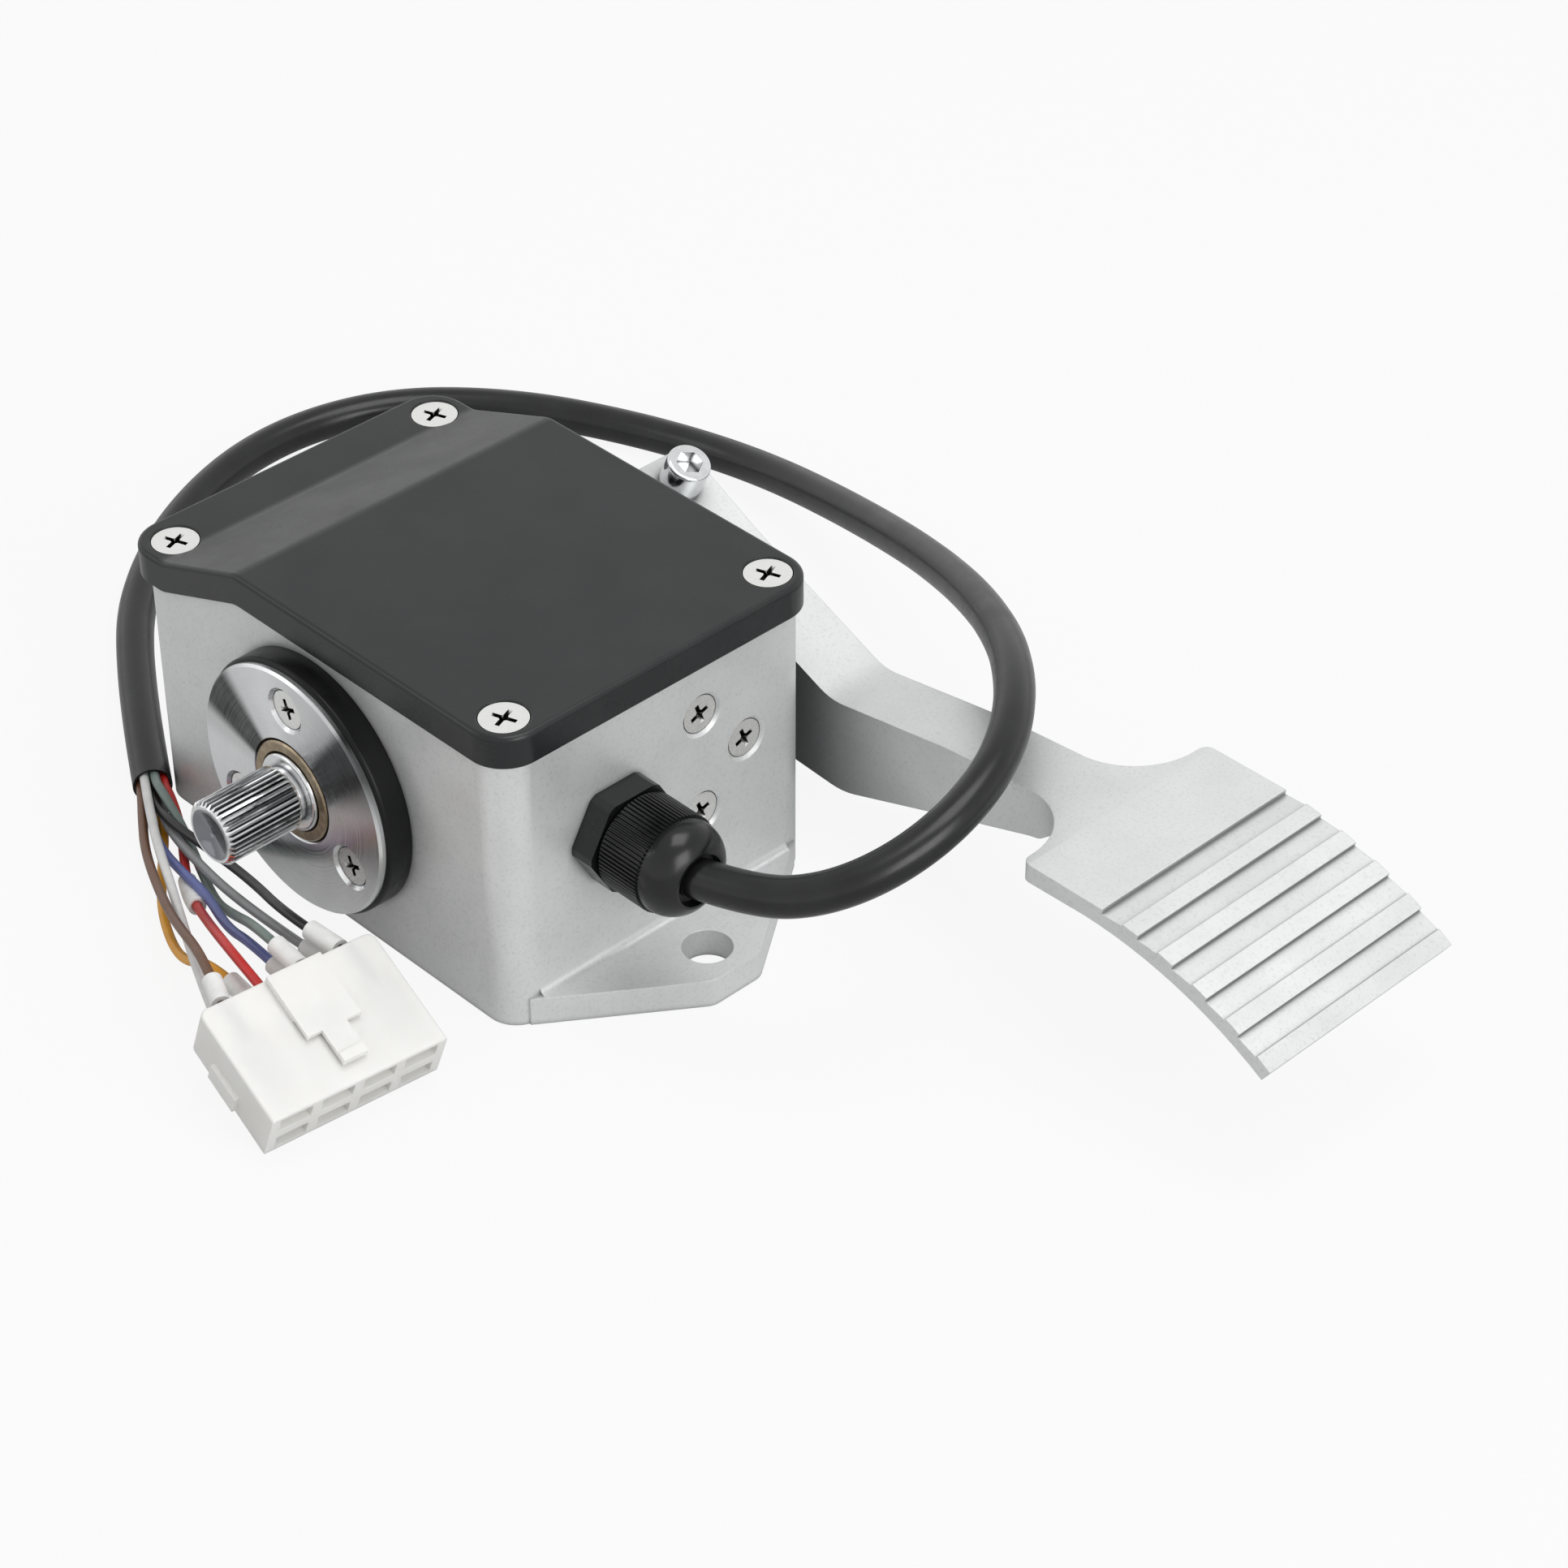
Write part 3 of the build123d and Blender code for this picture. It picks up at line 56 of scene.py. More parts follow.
# Cable: the same route points as in the CAD source, in millimetres
CABLE_D = 9.6
CABLE_ROUTE = [
    (90.5, -14.2, 42.2),
    (106.8, -11.0, 43.8),
    (119.0, -2.6, 46.8),
    (127.2, 10.8, 52.0),
    (130.0, 28.0, 58.0),
    (125.0, 47.5, 62.0),
    (110.5, 67.5, 62.2),
    (85.0, 89.5, 55.5),
    (42.0, 116.0, 38.5),
    (-10.0, 137.5, 20.0),
    (-59.0, 148.5, 7.2),
    (-97.0, 140.5, 4.8),
    (-130.0, 124.0, 4.8),
    (-155.0, 99.0, 4.8),
    (-163.0, 66.0, 4.8),
    (-154.0, 31.0, 4.8),
    (-131.0, -4.0, 4.8),
    (-99.0, -28.8, 4.8),
    (-66.8, -48.4, 4.8),
]
SHEATH_END_LENGTH = 7.0

# Wires: a ring of them round one in the middle of the cable's end, in millimetres
WIRE_D = 2.3
RING_WIRES = 7
BUNDLE_R = 2.85
BUNDLE_FIRST_DEG = 26.0

# Each wire: place in the bundle, middle points, connector column and row, sideways swing into its cavity
WIRE_PLAN = {
    "red": (
        0, [(-53, -52.4, 6), (-45, -55.8, 3), (-34, -63.4, 1.8), (-22, -70.8, 4), (-9, -76.6, 8.6)],
        1, 1, -6,
    ),
    "green": (
        1, [(-53.5, -54.6, 8.8), (-42, -57.4, 5.6), (-31, -61.4, 2.6), (-17, -67.4, 2.8), (-5, -71, 8)],
        2, 1, 0,
    ),
    "white": (
        2, [(-51, -60.2, 8.4), (-39, -67.2, 8.4), (-22, -75.6, 8.8), (-8, -83, 10.4)],
        0, 0, -20,
    ),
    "brown": (
        3, [(-52, -61.8, 5.2), (-40, -70, 6), (-22, -79, 9), (-6, -86.2, 13.6)],
        0, 1, -20,
    ),
    "blue": (
        4, [(-51, -60, 2.6), (-40.5, -65.2, 4.2), (-28, -68.6, 6.4), (-15, -71, 8.4), (0, -76.4, 10)],
        2, 0, 0,
    ),
    "yellow": (
        5, [(-47, -59.2, 1.3), (-36, -68.8, 1.3), (-22, -79.2, 1.4), (-4, -87.4, 4)],
        1, 0, 0,
    ),
    "grey": (
        6, [(-51, -56.8, 4.2), (-41, -61, 5.8), (-29, -63.2, 5.6), (-12, -66.6, 8)],
        3, 0, 9,
    ),
    "black": (
        7, [(-51.5, -58, 6.6), (-41, -60.6, 8.6), (-26, -60.4, 8.8), (-8, -62.8, 11.6)],
        3, 1, 9,
    ),
}
WIRE_RUN_OUT = 2.0
WIRE_LEAD_IN = 20.0
WIRE_DEPTH = 4.0
CONTACT_GAP = 0.1

# Marker sleeve on the red wire: its stretch as shares of the wire, inner and outer radius, sides
SLEEVE_STRETCH = (0.50, 0.63)
SLEEVE_RADII = (1.25, 2.2)
SLEEVE_SIDES = 24

# Brightness of the surroundings: seen in reflections from horizon to zenith, and as soft light
HORIZON_LEVEL = 1.0
ZENITH_LEVEL = 0.8
SOFT_LEVEL = 0.55

# Floor: share of plain white by kind of ray, grey of the rest, half its width, and its height in metres
FLOOR_WHITE = {"Is Camera Ray": 0.9, "Is Glossy Ray": 0.15, "Is Transmission Ray": 0.9}
FLOOR_GREY = 0.62
FLOOR_REACH = 4.0
FLOOR_Z = -0.0003

# Lamps: name, place, point they aim at and size in metres, power in watts
LAMPS = [
    ("key", (0.25, 0.25, 1.5), (0.03, 0.0, 0.03), 0.9, 7.2),
    ("front", (1.2, -0.1, 0.6), (0.02, 0.0, 0.03), 0.7, 6.0),
    ("side", (-0.9, -0.8, 0.9), (-0.06, -0.05, 0.05), 0.6, 1.1),
]

# Shading of the arm's faces that lie close to the housing: its strength, and its reach in millimetres
ARM_SHADE = 0.95
ARM_SHADE_REACH = 40.0

# Dished end of the near stub, in millimetres: place along Y and radius of its painted dark reflection,
# depth and radius of its relief
STUB_END_Y = -77.5
STUB_END_R = 6.5
DISH_DEPTH = 2.4
DISH_R = 7.0

# Painted reflection sectors on the turned plates' base colour: degrees round the shaft from +X towards
# +Z, and grey
PLATE_REFLECTION_SECTORS = [
    (-180, 0.80), (-100, 0.95), (-60, 0.95), (10, 0.70), (34, 0.05), (50, 0.06), (58, 0.60),
    (76, 0.70), (110, 0.85), (128, 0.75), (140, 0.03), (158, 0.02), (168, 0.65), (180, 0.80),
]

# Connector pose and cavities, as in the CAD source
CONN_CORNER = (56.9, -111.8)
CONN_TURN_DEG = -6.1
CONN_TILT_DEG = 22.5
CONN_LENGTH = 31.3
CONN_WIDTH = 45.4
CONN_HEIGHT = 14.0
CONN_COLUMNS = 4
CONN_SIDE_WALL = 1.0
CAVITY_DEPTH = 21.0
ROW_RISE = 3.7


def connector_matrix():
    """Connector frame in millimetres: X from the wire side to the mating face, Z through its height."""
    turn = Euler((0, 0, math.radians(CONN_TURN_DEG))).to_matrix().to_4x4()
    tilt = Euler((0, math.radians(CONN_TILT_DEG), 0)).to_matrix().to_4x4()
    corner = Matrix.Translation((CONN_CORNER[0], CONN_CORNER[1], 0))
    return corner @ turn @ tilt @ Matrix.Translation((-CONN_LENGTH, 0, 0))


def cavity_center(column, row):
    """Y and Z of one cavity in the connector's own frame."""
    pitch = (CONN_WIDTH - 2 * CONN_SIDE_WALL) / CONN_COLUMNS
    y = CONN_SIDE_WALL + pitch * (column + 0.5)
    z = CONN_HEIGHT / 2 + (ROW_RISE if row else -ROW_RISE)
    return y, z


def wire_route(name):
    """Route of one wire, from the cable's end into its contact."""
    index, middle, column, row, swing_deg = WIRE_PLAN[name]
    end = Vector(CABLE_ROUTE[-1])
    along = (end - Vector(CABLE_ROUTE[-2])).normalized()
    across = Vector((-along.y, along.x, 0))
    start = end.copy()
    if index < RING_WIRES:
        angle = math.radians(BUNDLE_FIRST_DEG + 360 / RING_WIRES * index)
        start += across * (BUNDLE_R * math.cos(angle)) + Vector((0, 0, BUNDLE_R * math.sin(angle)))
    y, z = cavity_center(column, row)
    sideways = WIRE_DEPTH * math.tan(math.radians(swing_deg))
    upwards = WIRE_DEPTH * math.tan(math.radians(CONN_TILT_DEG)) / math.cos(math.radians(swing_deg))
    contact_x = CONN_LENGTH - CAVITY_DEPTH + CONTACT_GAP
    entry = connector_matrix() @ Vector((0, y - sideways / 2, z - upwards / 2))
    bend = connector_matrix() @ Vector((WIRE_DEPTH, y + sideways / 2, z + upwards / 2))
    back = connector_matrix() @ Vector((contact_x, y + sideways / 2, z + upwards / 2))
    heading = (bend - entry).normalized()
    points = [start, start + along * (SHEATH_END_LENGTH + WIRE_RUN_OUT)]
    points += [Vector(p) for p in middle]
    points += [entry - heading * WIRE_LEAD_IN, bend, back]
    return points


def cord_curve(name, points, diameter):
    """Smooth round cord: one NURBS spline with the route's points as control points."""
    curve = bpy.data.curves.new(name, "CURVE")
    curve.dimensions = "3D"
    spline = curve.splines.new("NURBS")
    spline.points.add(len(points) - 1)
    for spot, point in zip(spline.points, points):
        spot.co = (*(Vector(point) * MM), 1)
    spline.order_u = 3
    spline.use_endpoint_u = True
    spline.resolution_u = 14
    curve.bevel_depth = diameter * MM / 2
    curve.bevel_resolution = 8
    curve.use_fill_caps = True
    obj = bpy.data.objects.new(name, curve)
    bpy.context.scene.collection.objects.link(obj)
    return obj


class Look:
    """One node material with a Principled shader, built up by small steps."""

    def __init__(self, name, color, metallic=0.0, roughness=0.5):
        self.material = bpy.data.materials.new(name)
        self.material.use_nodes = True
        self.nodes = self.material.node_tree.nodes
        self.links = self.material.node_tree.links
        self.shader = self.nodes["Principled BSDF"]
        self.set("Base Color", (*color, 1))
        self.set("Metallic", metallic)
        self.set("Roughness", roughness)
        self.color = color
        self.place = self.nodes.new("ShaderNodeTexCoord").outputs["Object"]
        self.height = None

    def set(self, socket, value):
        """Plain value on the shader's own socket."""
        self.shader.inputs[socket].default_value = value
        return self

    def stretched(self, scale):
        """Object coordinates scaled by a triple."""
        mapping = self.nodes.new("ShaderNodeMapping")
        mapping.inputs["Scale"].default_value = scale
        self.links.new(self.place, mapping.inputs["Vector"])
        return mapping.outputs["Vector"]

    def noise(self, per_metre, detail=3.0, rough=0.55, stretch=(1, 1, 1)):
        """Noise output with features of about one over per_metre."""
        noise = self.nodes.new("ShaderNodeTexNoise")
        noise.inputs["Scale"].default_value = per_metre
        noise.inputs["Detail"].default_value = detail
        noise.inputs["Roughness"].default_value = rough
        self.links.new(self.stretched(stretch), noise.inputs["Vector"])
        return noise.outputs["Fac"]

    def spread(self, value, low, high, from_low=0.3, from_high=0.7):
        """Value brought from one range to another."""
        node = self.nodes.new("ShaderNodeMapRange")
        node.inputs["From Min"].default_value = from_low
        node.inputs["From Max"].default_value = from_high
        node.inputs["To Min"].default_value = low
        node.inputs["To Max"].default_value = high
        self.links.new(value, node.inputs["Value"])
        return node.outputs["Result"]

    def tint(self, value, other, low=0.0, high=1.0, from_low=0.35, from_high=0.65):
        """Blends the base colour towards another colour by a value."""
        mix = self.nodes.new("ShaderNodeMix")
        mix.data_type = "RGBA"
        self.links.new(self.spread(value, low, high, from_low, from_high), mix.inputs["Factor"])
        socket = self.shader.inputs["Base Color"]
        if socket.is_linked:
            self.links.new(socket.links[0].from_socket, mix.inputs["A"])
        else:
            mix.inputs["A"].default_value = (*self.color, 1)
        mix.inputs["B"].default_value = (*other, 1)
        self.links.new(mix.outputs["Result"], socket)
        return self

    def rough(self, value, low, high):
        """Roughness that follows a value."""
        self.links.new(self.spread(value, low, high), self.shader.inputs["Roughness"])
        return self

    def bump(self, value, depth_mm, strength=1.0):
        """Adds relief of about depth_mm."""
        node = self.nodes.new("ShaderNodeBump")
        node.inputs["Strength"].default_value = strength
        node.inputs["Distance"].default_value = depth_mm * MM
        self.links.new(value, node.inputs["Height"])
        if self.height is not None:
            self.links.new(self.height, node.inputs["Normal"])
        self.height = node.outputs["Normal"]
        self.links.new(self.height, self.shader.inputs["Normal"])
        return self

    def corners(self, other, reach_mm, most, shut=0.35, free=0.95):
        """Painted shade: blends towards another colour where surfaces meet in a corner within reach_mm.
        """
        near = self.nodes.new("ShaderNodeAmbientOcclusion")
        near.samples = 12
        near.inputs["Distance"].default_value = reach_mm * MM
        return self.tint(near.outputs["AO"], other, most, 0.0, shut, free)

    def edges(self, radius_mm):
        """Rounds the shading of sharp edges."""
        node = self.nodes.new("ShaderNodeBevel")
        node.samples = 4
        node.inputs["Radius"].default_value = radius_mm * MM
        self.height = node.outputs["Normal"]
        self.links.new(self.height, self.shader.inputs["Normal"])
        return self

    def ring_marks(self, amount):
        """Fine marks round the shaft's axis, which stretch highlights across them."""
        around = self.nodes.new("ShaderNodeTangent")
        around.direction_type = "RADIAL"
        around.axis = "Y"
        self.links.new(around.outputs["Tangent"], self.shader.inputs["Tangent"])
        return self.set("Anisotropic", amount)

    def reflection_sectors(self, stops):
        """Painted reflection: base colour in grey sectors round the shaft's axis: pairs of degrees and
        grey.
        """
        split = self.nodes.new("ShaderNodeSeparateXYZ")
        self.links.new(self.ring_offset(), split.inputs["Vector"])
        angle = self.nodes.new("ShaderNodeMath")
        angle.operation = "ARCTAN2"
        self.links.new(split.outputs["Z"], angle.inputs[0])
        self.links.new(split.outputs["X"], angle.inputs[1])
        ramp = self.nodes.new("ShaderNodeValToRGB")
        ramp.color_ramp.interpolation = "EASE"
        turns = self.spread(angle.outputs["Value"], 0.0, 1.0, -math.pi, math.pi)
        self.links.new(turns, ramp.inputs["Fac"])
        elements = ramp.color_ramp.elements
        for degrees, grey in stops:
            inner = -180 < degrees < 180
            end = elements[0 if degrees < 0 else -1]
            element = elements.new((degrees + 180) / 360) if inner else end
            element.color = (grey, grey * 1.01, grey * 1.02, 1)
        self.links.new(ramp.outputs["Color"], self.shader.inputs["Base Color"])
        return self

    def painted_dark_end(self, start_mm, end_mm, radius_mm, other):
        """Painted dark reflection: blends towards another colour past a place along Y, within a radius
        of the shaft's axis.
        """
        split = self.nodes.new("ShaderNodeSeparateXYZ")
        self.links.new(self.place, split.inputs["Vector"])
        along = self.spread(split.outputs["Y"], 0.0, 1.0, start_mm * MM, end_mm * MM)
        within = self.spread(self.ring_distance(), 1.0, 0.0, (radius_mm - 0.3) * MM, radius_mm * MM)
        both = self.nodes.new("ShaderNodeMath")
        both.operation = "MULTIPLY"
        self.links.new(along, both.inputs[0])
        self.links.new(within, both.inputs[1])
        return self.tint(both.outputs["Value"], other, 0.0, 1.0, 0.0, 1.0)

    def ring_distance(self):
        """Distance from the shaft's axis, in metres."""
        length = self.nodes.new("ShaderNodeVectorMath")
        length.operation = "LENGTH"
        self.links.new(self.ring_offset(), length.inputs[0])
        return length.outputs["Value"]

    def ring_offset(self):
        """Place seen from the shaft's axis, flattened along it."""
        shifted = self.nodes.new("ShaderNodeVectorMath")
        shifted.operation = "SUBTRACT"
        shifted.inputs[1].default_value = (0, 0, AXIS_Z)
        self.links.new(self.place, shifted.inputs[0])
        flat = self.nodes.new("ShaderNodeVectorMath")
        flat.operation = "MULTIPLY"
        flat.inputs[1].default_value = (1, 0, 1)
        self.links.new(shifted.outputs["Vector"], flat.inputs[0])
        return flat.outputs["Vector"]

    def ring_noise(self, per_metre):
        """Turning marks: noise that depends on the distance from the shaft's axis alone."""
        noise = self.nodes.new("ShaderNodeTexNoise")
        noise.noise_dimensions = "1D"
        noise.inputs["Scale"].default_value = per_metre
        noise.inputs["Detail"].default_value = 4.0
        self.links.new(self.ring_distance(), noise.inputs["W"])
        return noise.outputs["Fac"]


def cast_look(name, shade=0.0):
    """Bead-blasted cast aluminium: fine grain, painted shade in its corners, soft edges and painted
    shade near the housing.
    """
    look = Look(name, (0.75, 0.76, 0.76), 0.5, 0.42)
    look.edges(0.35)
    look.tint(look.noise(55, 4.0, 0.6), (0.66, 0.67, 0.67), 0.0, 0.5, 0.40, 0.70)
    look.tint(look.noise(1300, 2.0), (0.56, 0.57, 0.57), 0.0, 0.45, 0.52, 0.72)
    # Painted shade where surfaces meet in corners
    look.corners((0.16, 0.16, 0.16), 1.8, 0.7)
    if shade:
        look.corners((0.07, 0.072, 0.074), ARM_SHADE_REACH, shade, 0.15, 0.85)
    look.rough(look.noise(80, 3.0), 0.36, 0.50)
    look.bump(look.noise(700, 4.0), 0.035, 0.35)
    look.bump(look.noise(2600, 2.0), 0.02, 0.6)
    return look


def cover_look():
    """Black satin moulding."""
    look = Look("cover_black", (0.012, 0.0135, 0.014), 0.0, 0.27)
    look.set("Specular IOR Level", 0.38)
    look.edges(0.4)
    look.rough(look.noise(70, 3.0), 0.22, 0.33)
    look.bump(look.noise(2400, 2.0), 0.01, 0.3)
    look.tint(look.noise(45, 4.0), (0.018, 0.019, 0.020))
    return look


def turned_steel_look():
    """Face-turned steel: fine rings that spread each highlight, painted reflection sectors in the base
    colour, and painted shade in its corners.
    """
    look = Look("polished_steel", (0.56, 0.57, 0.58), 1.0, 0.24)
    # Painted reflection: grey sectors round the shaft's axis in the base colour
    look.reflection_sectors(PLATE_REFLECTION_SECTORS)
    look.tint(look.noise(140, 4.0), (0.45, 0.46, 0.47), 0.0, 0.12)
    look.tint(look.ring_noise(2200), (0.70, 0.71, 0.72), 0.0, 0.1)
    # Painted shade where surfaces meet in corners
    look.corners((0.03, 0.03, 0.03), 1.2, 0.85)
    look.ring_marks(0.7)
    look.rough(look.ring_noise(2200), 0.16, 0.28)
    look.bump(look.ring_noise(2600), 0.004, 0.3)
    return look


def plated_look(name, color, low, high, stain=0.6):
    """Plated small steel part."""
    look = Look(name, color, 1.0, low)
    look.rough(look.noise(500, 3.0), low, high)
    look.tint(look.noise(900, 3.0), tuple(c * 0.8 for c in color), 0.0, stain)
    look.bump(look.noise(1500, 2.0), 0.01, 0.3)
    return look


def screw_look():
    """White-zinc screw with painted shade in its recess and under its head."""
    look = plated_look("zinc_steel", (0.86, 0.86, 0.84), 0.22, 0.32, 0.1)
    look.set("Metallic", 0.85)
    # Painted shade: near black in the recess and under the head
    look.corners((0.010, 0.008, 0.007), 2.2, 1.0, 0.5, 0.86)
    return look


def chrome_look(name, reach_mm, most):
    """Bright plated steel, with painted shade in its corners and a painted dark reflection in the stub's
    dish.
    """
    look = Look(name, (0.82, 0.83, 0.84), 1.0, 0.10)
    look.rough(look.noise(700, 3.0), 0.07, 0.18)
    look.bump(look.noise(1100, 4.0, stretch=(1, 0.35, 1)), 0.05, 0.5)
    look.tint(look.noise(300, 3.0), (0.66, 0.67, 0.68), 0.0, 0.5)
    # Painted shade where surfaces meet in corners
    look.corners((0.02, 0.02, 0.021), reach_mm, most, 0.4, 1.0)
    look.bump(look.spread(look.ring_distance(), 0.0, 1.0, 0.0, DISH_R * MM), DISH_DEPTH)
    # Painted dark reflection on the stub's dished end
    look.painted_dark_end(STUB_END_Y, STUB_END_Y - 0.1, STUB_END_R, (0.24, 0.25, 0.27))
    return look


def bronze_look():
    """Oily bronze bush with painted shade in its corners."""
    look = Look("bearing_bronze", (0.42, 0.34, 0.24), 1.0, 0.3)
    look.rough(look.ring_noise(1800), 0.22, 0.42)
    look.tint(look.noise(600, 3.0), (0.25, 0.19, 0.12), 0.0, 0.7)
    # Painted shade where surfaces meet in corners
    look.corners((0.03, 0.025, 0.02), 1.0, 0.7)
    return look


def plastic_look(name, color, roughness, grain=0.02, coat=0.0, gloss=0.5):
    """Moulded or extruded plastic with a faint grain."""
    look = Look(name, color, 0.0, roughness)
    look.set("Specular IOR Level", gloss)
    look.rough(look.noise(180, 3.0), max(0.05, roughness - 0.05), roughness + 0.07)
    look.tint(look.noise(260, 3.0), tuple(c * 0.82 for c in color), 0.0, 0.6)
    look.bump(look.noise(1900, 2.0), grain, 0.35)
    if coat:
        look.set("Coat Weight", coat)
        look.set("Coat Roughness", 0.2)
    return look


def nylon_look():
    """Milky connector nylon with light passing into it."""
    look = Look("connector_nylon", (0.87, 0.865, 0.84), 0.0, 0.48)
    look.set("Subsurface Weight", 0.5)
    look.set("Subsurface Radius", (1.0, 0.97, 0.9))
    look.set("Subsurface Scale", 0.003)
    look.set("Specular IOR Level", 0.35)
    look.rough(look.noise(200, 3.0), 0.42, 0.54)
    look.tint(look.noise(120, 3.0), (0.84, 0.83, 0.795), 0.0, 0.6)
    look.bump(look.noise(1600, 2.0), 0.01, 0.3)
    return look


def cable_look():
    """Black cable sheath, satin and slightly uneven."""
    look = Look("cable_sheath", (0.006, 0.0062, 0.0066), 0.0, 0.24)
    look.set("Specular IOR Level", 0.42)
    look.rough(look.noise(110, 3.0), 0.21, 0.32)
    look.bump(look.noise(300, 2.0), 0.03, 0.2)
    look.bump(look.noise(2200, 2.0), 0.006, 0.25)
    look.tint(look.noise(70, 3.0), (0.012, 0.0125, 0.013))
    return look


def build_looks():
    """Materials by the record's slot, and by node where a node has its own."""
    looks = {
        "cast_aluminium": cast_look("cast_aluminium"),
        "pedal_arm": cast_look("cast_arm", ARM_SHADE),
        "cover_black": cover_look(),
        "seal_rubber": plastic_look("seal_rubber", (0.02, 0.02, 0.02), 0.6),
        "zinc_steel": screw_look(),
        "polished_steel": turned_steel_look(),
        "shaft": chrome_look("shaft_steel", 1.1, 0.8),
        "clamp_screw": chrome_look("clamp_chrome", 1.4, 0.8),
        "spacer_black": plastic_look("spacer_black", (0.006, 0.0062, 0.0066), 0.3, gloss=0.2),
        "bearing_bronze": bronze_look(),
        "spring_steel": plated_look("spring_steel", (0.55, 0.56, 0.57), 0.28, 0.42),
        "lever_steel": plated_look("lever_steel", (0.28, 0.29, 0.30), 0.35, 0.5),
        "magnet_nickel": plated_look("magnet_nickel", (0.70, 0.69, 0.67), 0.15, 0.25),
        "sensor_plastic": plastic_look("sensor_plastic", (0.02, 0.02, 0.022), 0.45),
        "board_green": plastic_look("board_green", (0.02, 0.16, 0.06), 0.35, 0.02, 0.3),
        "gland_nylon": plastic_look("gland_nylon", (0.007, 0.0074, 0.008), 0.23, 0.01, gloss=0.42),
        "cable_sheath": cable_look(),
        "connector_nylon": nylon_look(),
        "tinned_contact": plated_look("tinned_contact", (0.72, 0.68, 0.58), 0.25, 0.4),
        "marker_sleeve": plastic_look("marker_sleeve", (0.93, 0.93, 0.91), 0.5),
    }
    for name, color in {
        "red": (0.60, 0.022, 0.018),
        "green": (0.20, 0.255, 0.235),
        "white": (0.80, 0.80, 0.79),
        "brown": (0.16, 0.075, 0.04),
        "blue": (0.13, 0.16, 0.40),
        "yellow": (0.86, 0.39, 0.015),
        "grey": (0.33, 0.335, 0.34),
        "black": (0.012, 0.012, 0.012),
    }.items():
        looks["wire_" + name] = plastic_look("wire_" + name, color, 0.34, 0.01)
    return looks


def dress_nodes(looks):
    """Gives each CAD node its own material, or else that of its slot."""
    for row in frame["record"]["subparts"]:
        node = nodes[row["node"]]
        look = looks.get(row["node"], looks[row["material_slot"]])
        node.data.materials.clear()
        node.data.materials.append(look.material)


def make_cords(looks):
    """Cable and eight wires in place of their plain CAD tubes."""
    cable = cord_curve("cable_smooth", CABLE_ROUTE, CABLE_D)
    cable.data.materials.append(looks["cable_sheath"].material)
    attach(cable, "base")
    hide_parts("cable")
    for name in WIRE_PLAN:
        route = wire_route(name)
        wire = cord_curve("wire_" + name + "_smooth", route, WIRE_D)
        wire.data.materials.append(looks["wire_" + name].material)
        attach(wire, "base")
        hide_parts("wire_" + name)
        sleeve = make_wire_sleeve(looks, wire) if name == "red" else nodes.get("sleeve_" + name)


def make_wire_sleeve(looks, wire):
    """Marker sleeve part way along a wire: a tube round the wire's own spline."""
    line = wire.data.copy()
    line.bevel_depth = 0
    line_object = bpy.data.objects.new("wire_line", line)
    line_mesh = bpy.data.meshes.new_from_object(line_object)
    points = [v.co.copy() for v in line_mesh.vertices]
    bpy.data.objects.remove(line_object)
    bpy.data.curves.remove(line)
    bpy.data.meshes.remove(line_mesh)
    low, high = (share * len(points) for share in SLEEVE_STRETCH)
    points = [p for i, p in enumerate(points) if low <= i <= high]
    form = bmesh.new()
    rings = []
    for index, point in enumerate(points):
        ahead = points[min(index + 1, len(points) - 1)] - points[max(index - 1, 0)]
        side = ahead.cross(Vector((0, 0, 1))).normalized()
        up = side.cross(ahead).normalized()
        turns = [2 * math.pi * k / SLEEVE_SIDES for k in range(SLEEVE_SIDES)]
        around = [side * math.cos(t) + up * math.sin(t) for t in turns]
        rings.append([[form.verts.new(point + way * r * MM) for way in around] for r in SLEEVE_RADII])
    loops = [ring[1] for ring in rings] + [ring[0] for ring in reversed(rings)]
    for first, second in zip(loops, loops[1:] + loops[:1]):
        for k in range(SLEEVE_SIDES):
            after = (k + 1) % SLEEVE_SIDES
            form.faces.new((first[k], first[after], second[after], second[k]))
    bmesh.ops.recalc_face_normals(form, faces=form.faces)
    mesh = bpy.data.meshes.new("sleeve_red")
    form.to_mesh(mesh)
    form.free()
    mesh.polygons.foreach_set("use_smooth", [True] * len(mesh.polygons))
    sleeve = bpy.data.objects.new("sleeve_red", mesh)
    bpy.context.scene.collection.objects.link(sleeve)
    mesh.materials.append(looks["marker_sleeve"].material)
    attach(sleeve, "base")
    return sleeve


def make_camera():
    """Camera at the photograph's place."""
    data = bpy.data.cameras.new("camera")
    data.lens = CAMERA_LENS
    data.sensor_width = 36.0
    data.clip_start = 0.01
    camera = bpy.data.objects.new("camera", data)
    camera.location = CAMERA_PLACE
    camera.rotation_euler = (math.radians(CAMERA_TILT_DEG), 0, math.radians(CAMERA_TURN_DEG))
    bpy.context.scene.collection.objects.link(camera)
    bpy.context.scene.camera = camera


def area_light(name, place, target, size, power):
    """Soft square lamp aimed at a point."""
    data = bpy.data.lights.new(name, "AREA")
    data.size = size
    data.energy = power
    lamp = bpy.data.objects.new(name, data)
    lamp.location = place
    aim = Vector(target) - Vector(place)
    lamp.rotation_euler = aim.to_track_quat("-Z", "Y").to_euler()
    bpy.context.scene.collection.objects.link(lamp)


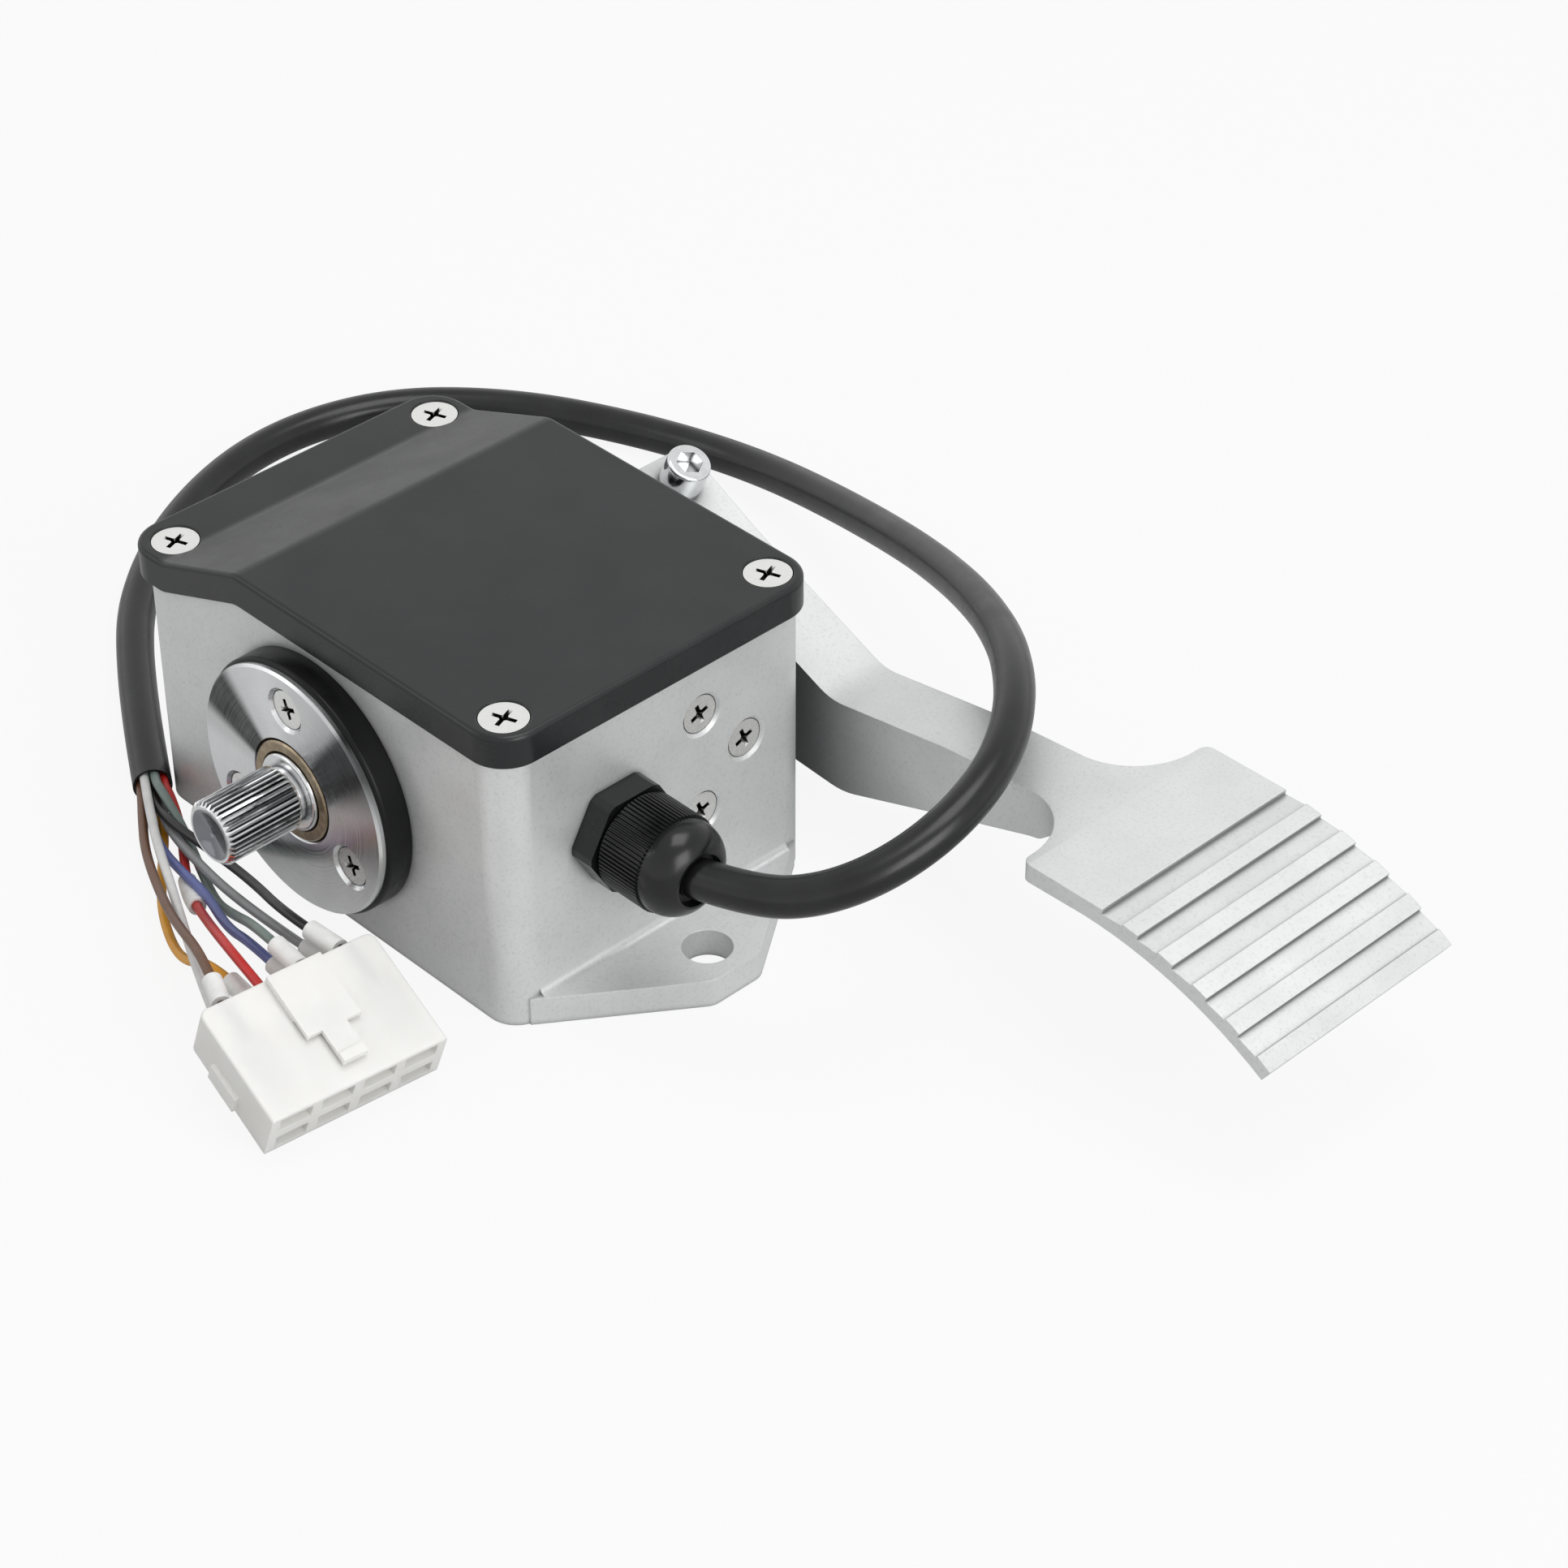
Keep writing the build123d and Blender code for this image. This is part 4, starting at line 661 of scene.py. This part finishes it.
def seen_directly(tree):
    """Share of plain white by kind of ray, the largest of those that apply."""
    path = tree.nodes.new("ShaderNodeLightPath")
    total = None
    for name, share in FLOOR_WHITE.items():
        scaled = tree.nodes.new("ShaderNodeMath")
        scaled.operation = "MULTIPLY"
        scaled.inputs[1].default_value = share
        tree.links.new(path.outputs[name], scaled.inputs[0])
        if total is not None:
            add = tree.nodes.new("ShaderNodeMath")
            add.operation = "MAXIMUM"
            tree.links.new(total, add.inputs[0])
            tree.links.new(scaled.outputs["Value"], add.inputs[1])
            scaled = add
        total = scaled.outputs["Value"]
    return total


def background(tree, strength):
    """Evenly white surroundings."""
    node = tree.nodes.new("ShaderNodeBackground")
    node.inputs["Color"].default_value = (1, 1, 1, 1)
    node.inputs["Strength"].default_value = strength
    return node


def graded_background(tree):
    """White surroundings that are bright at the horizon and dimmer overhead."""
    node = background(tree, HORIZON_LEVEL)
    place = tree.nodes.new("ShaderNodeTexCoord")
    split = tree.nodes.new("ShaderNodeSeparateXYZ")
    ramp = tree.nodes.new("ShaderNodeMapRange")
    ramp.inputs["From Min"].default_value = 0.15
    ramp.inputs["From Max"].default_value = 0.75
    ramp.inputs["To Min"].default_value = HORIZON_LEVEL
    ramp.inputs["To Max"].default_value = ZENITH_LEVEL
    tree.links.new(place.outputs["Generated"], split.inputs["Vector"])
    tree.links.new(split.outputs["Z"], ramp.inputs["Value"])
    tree.links.new(ramp.outputs["Result"], node.inputs["Strength"])
    return node


def make_floor():
    """White floor that keeps a faint shadow."""
    mesh = bpy.data.meshes.new("floor")
    turns = [(-1, -1), (1, -1), (1, 1), (-1, 1)]
    corners = [(x * FLOOR_REACH, y * FLOOR_REACH, FLOOR_Z) for x, y in turns]
    mesh.from_pydata(corners, [], [(0, 1, 2, 3)])
    floor = bpy.data.objects.new("floor", mesh)
    bpy.context.scene.collection.objects.link(floor)
    look = bpy.data.materials.new("floor_white")
    look.use_nodes = True
    tree = look.node_tree
    tree.nodes.clear()
    diffuse = tree.nodes.new("ShaderNodeBsdfDiffuse")
    diffuse.inputs["Color"].default_value = (FLOOR_GREY, FLOOR_GREY, FLOOR_GREY, 1)
    glow = tree.nodes.new("ShaderNodeEmission")
    glow.inputs["Color"].default_value = (1, 1, 1, 1)
    mix = tree.nodes.new("ShaderNodeMixShader")
    tree.links.new(seen_directly(tree), mix.inputs["Fac"])
    tree.links.new(diffuse.outputs["BSDF"], mix.inputs[1])
    tree.links.new(glow.outputs["Emission"], mix.inputs[2])
    out = tree.nodes.new("ShaderNodeOutputMaterial")
    tree.links.new(mix.outputs["Shader"], out.inputs["Surface"])
    mesh.materials.append(look)


def make_world():
    """Surroundings by kind of ray: white for the camera, graded in reflections, soft otherwise."""
    world = bpy.data.worlds.new("studio")
    bpy.context.scene.world = world
    world.use_nodes = True
    tree = world.node_tree
    tree.nodes.clear()
    soft = background(tree, SOFT_LEVEL)
    room = graded_background(tree)
    white = background(tree, 1.0)
    path = tree.nodes.new("ShaderNodeLightPath")
    shown = tree.nodes.new("ShaderNodeMixShader")
    tree.links.new(path.outputs["Is Glossy Ray"], shown.inputs["Fac"])
    tree.links.new(soft.outputs["Background"], shown.inputs[1])
    tree.links.new(room.outputs["Background"], shown.inputs[2])
    mix = tree.nodes.new("ShaderNodeMixShader")
    tree.links.new(path.outputs["Is Camera Ray"], mix.inputs["Fac"])
    tree.links.new(shown.outputs["Shader"], mix.inputs[1])
    tree.links.new(white.outputs["Background"], mix.inputs[2])
    out = tree.nodes.new("ShaderNodeOutputWorld")
    tree.links.new(mix.outputs["Shader"], out.inputs["Surface"])


make_camera()
made_looks = build_looks()
dress_nodes(made_looks)
make_cords(made_looks)
make_floor()
make_world()
for lamp in LAMPS:
    area_light(*lamp)
bpy.context.scene.view_settings.view_transform = "Standard"
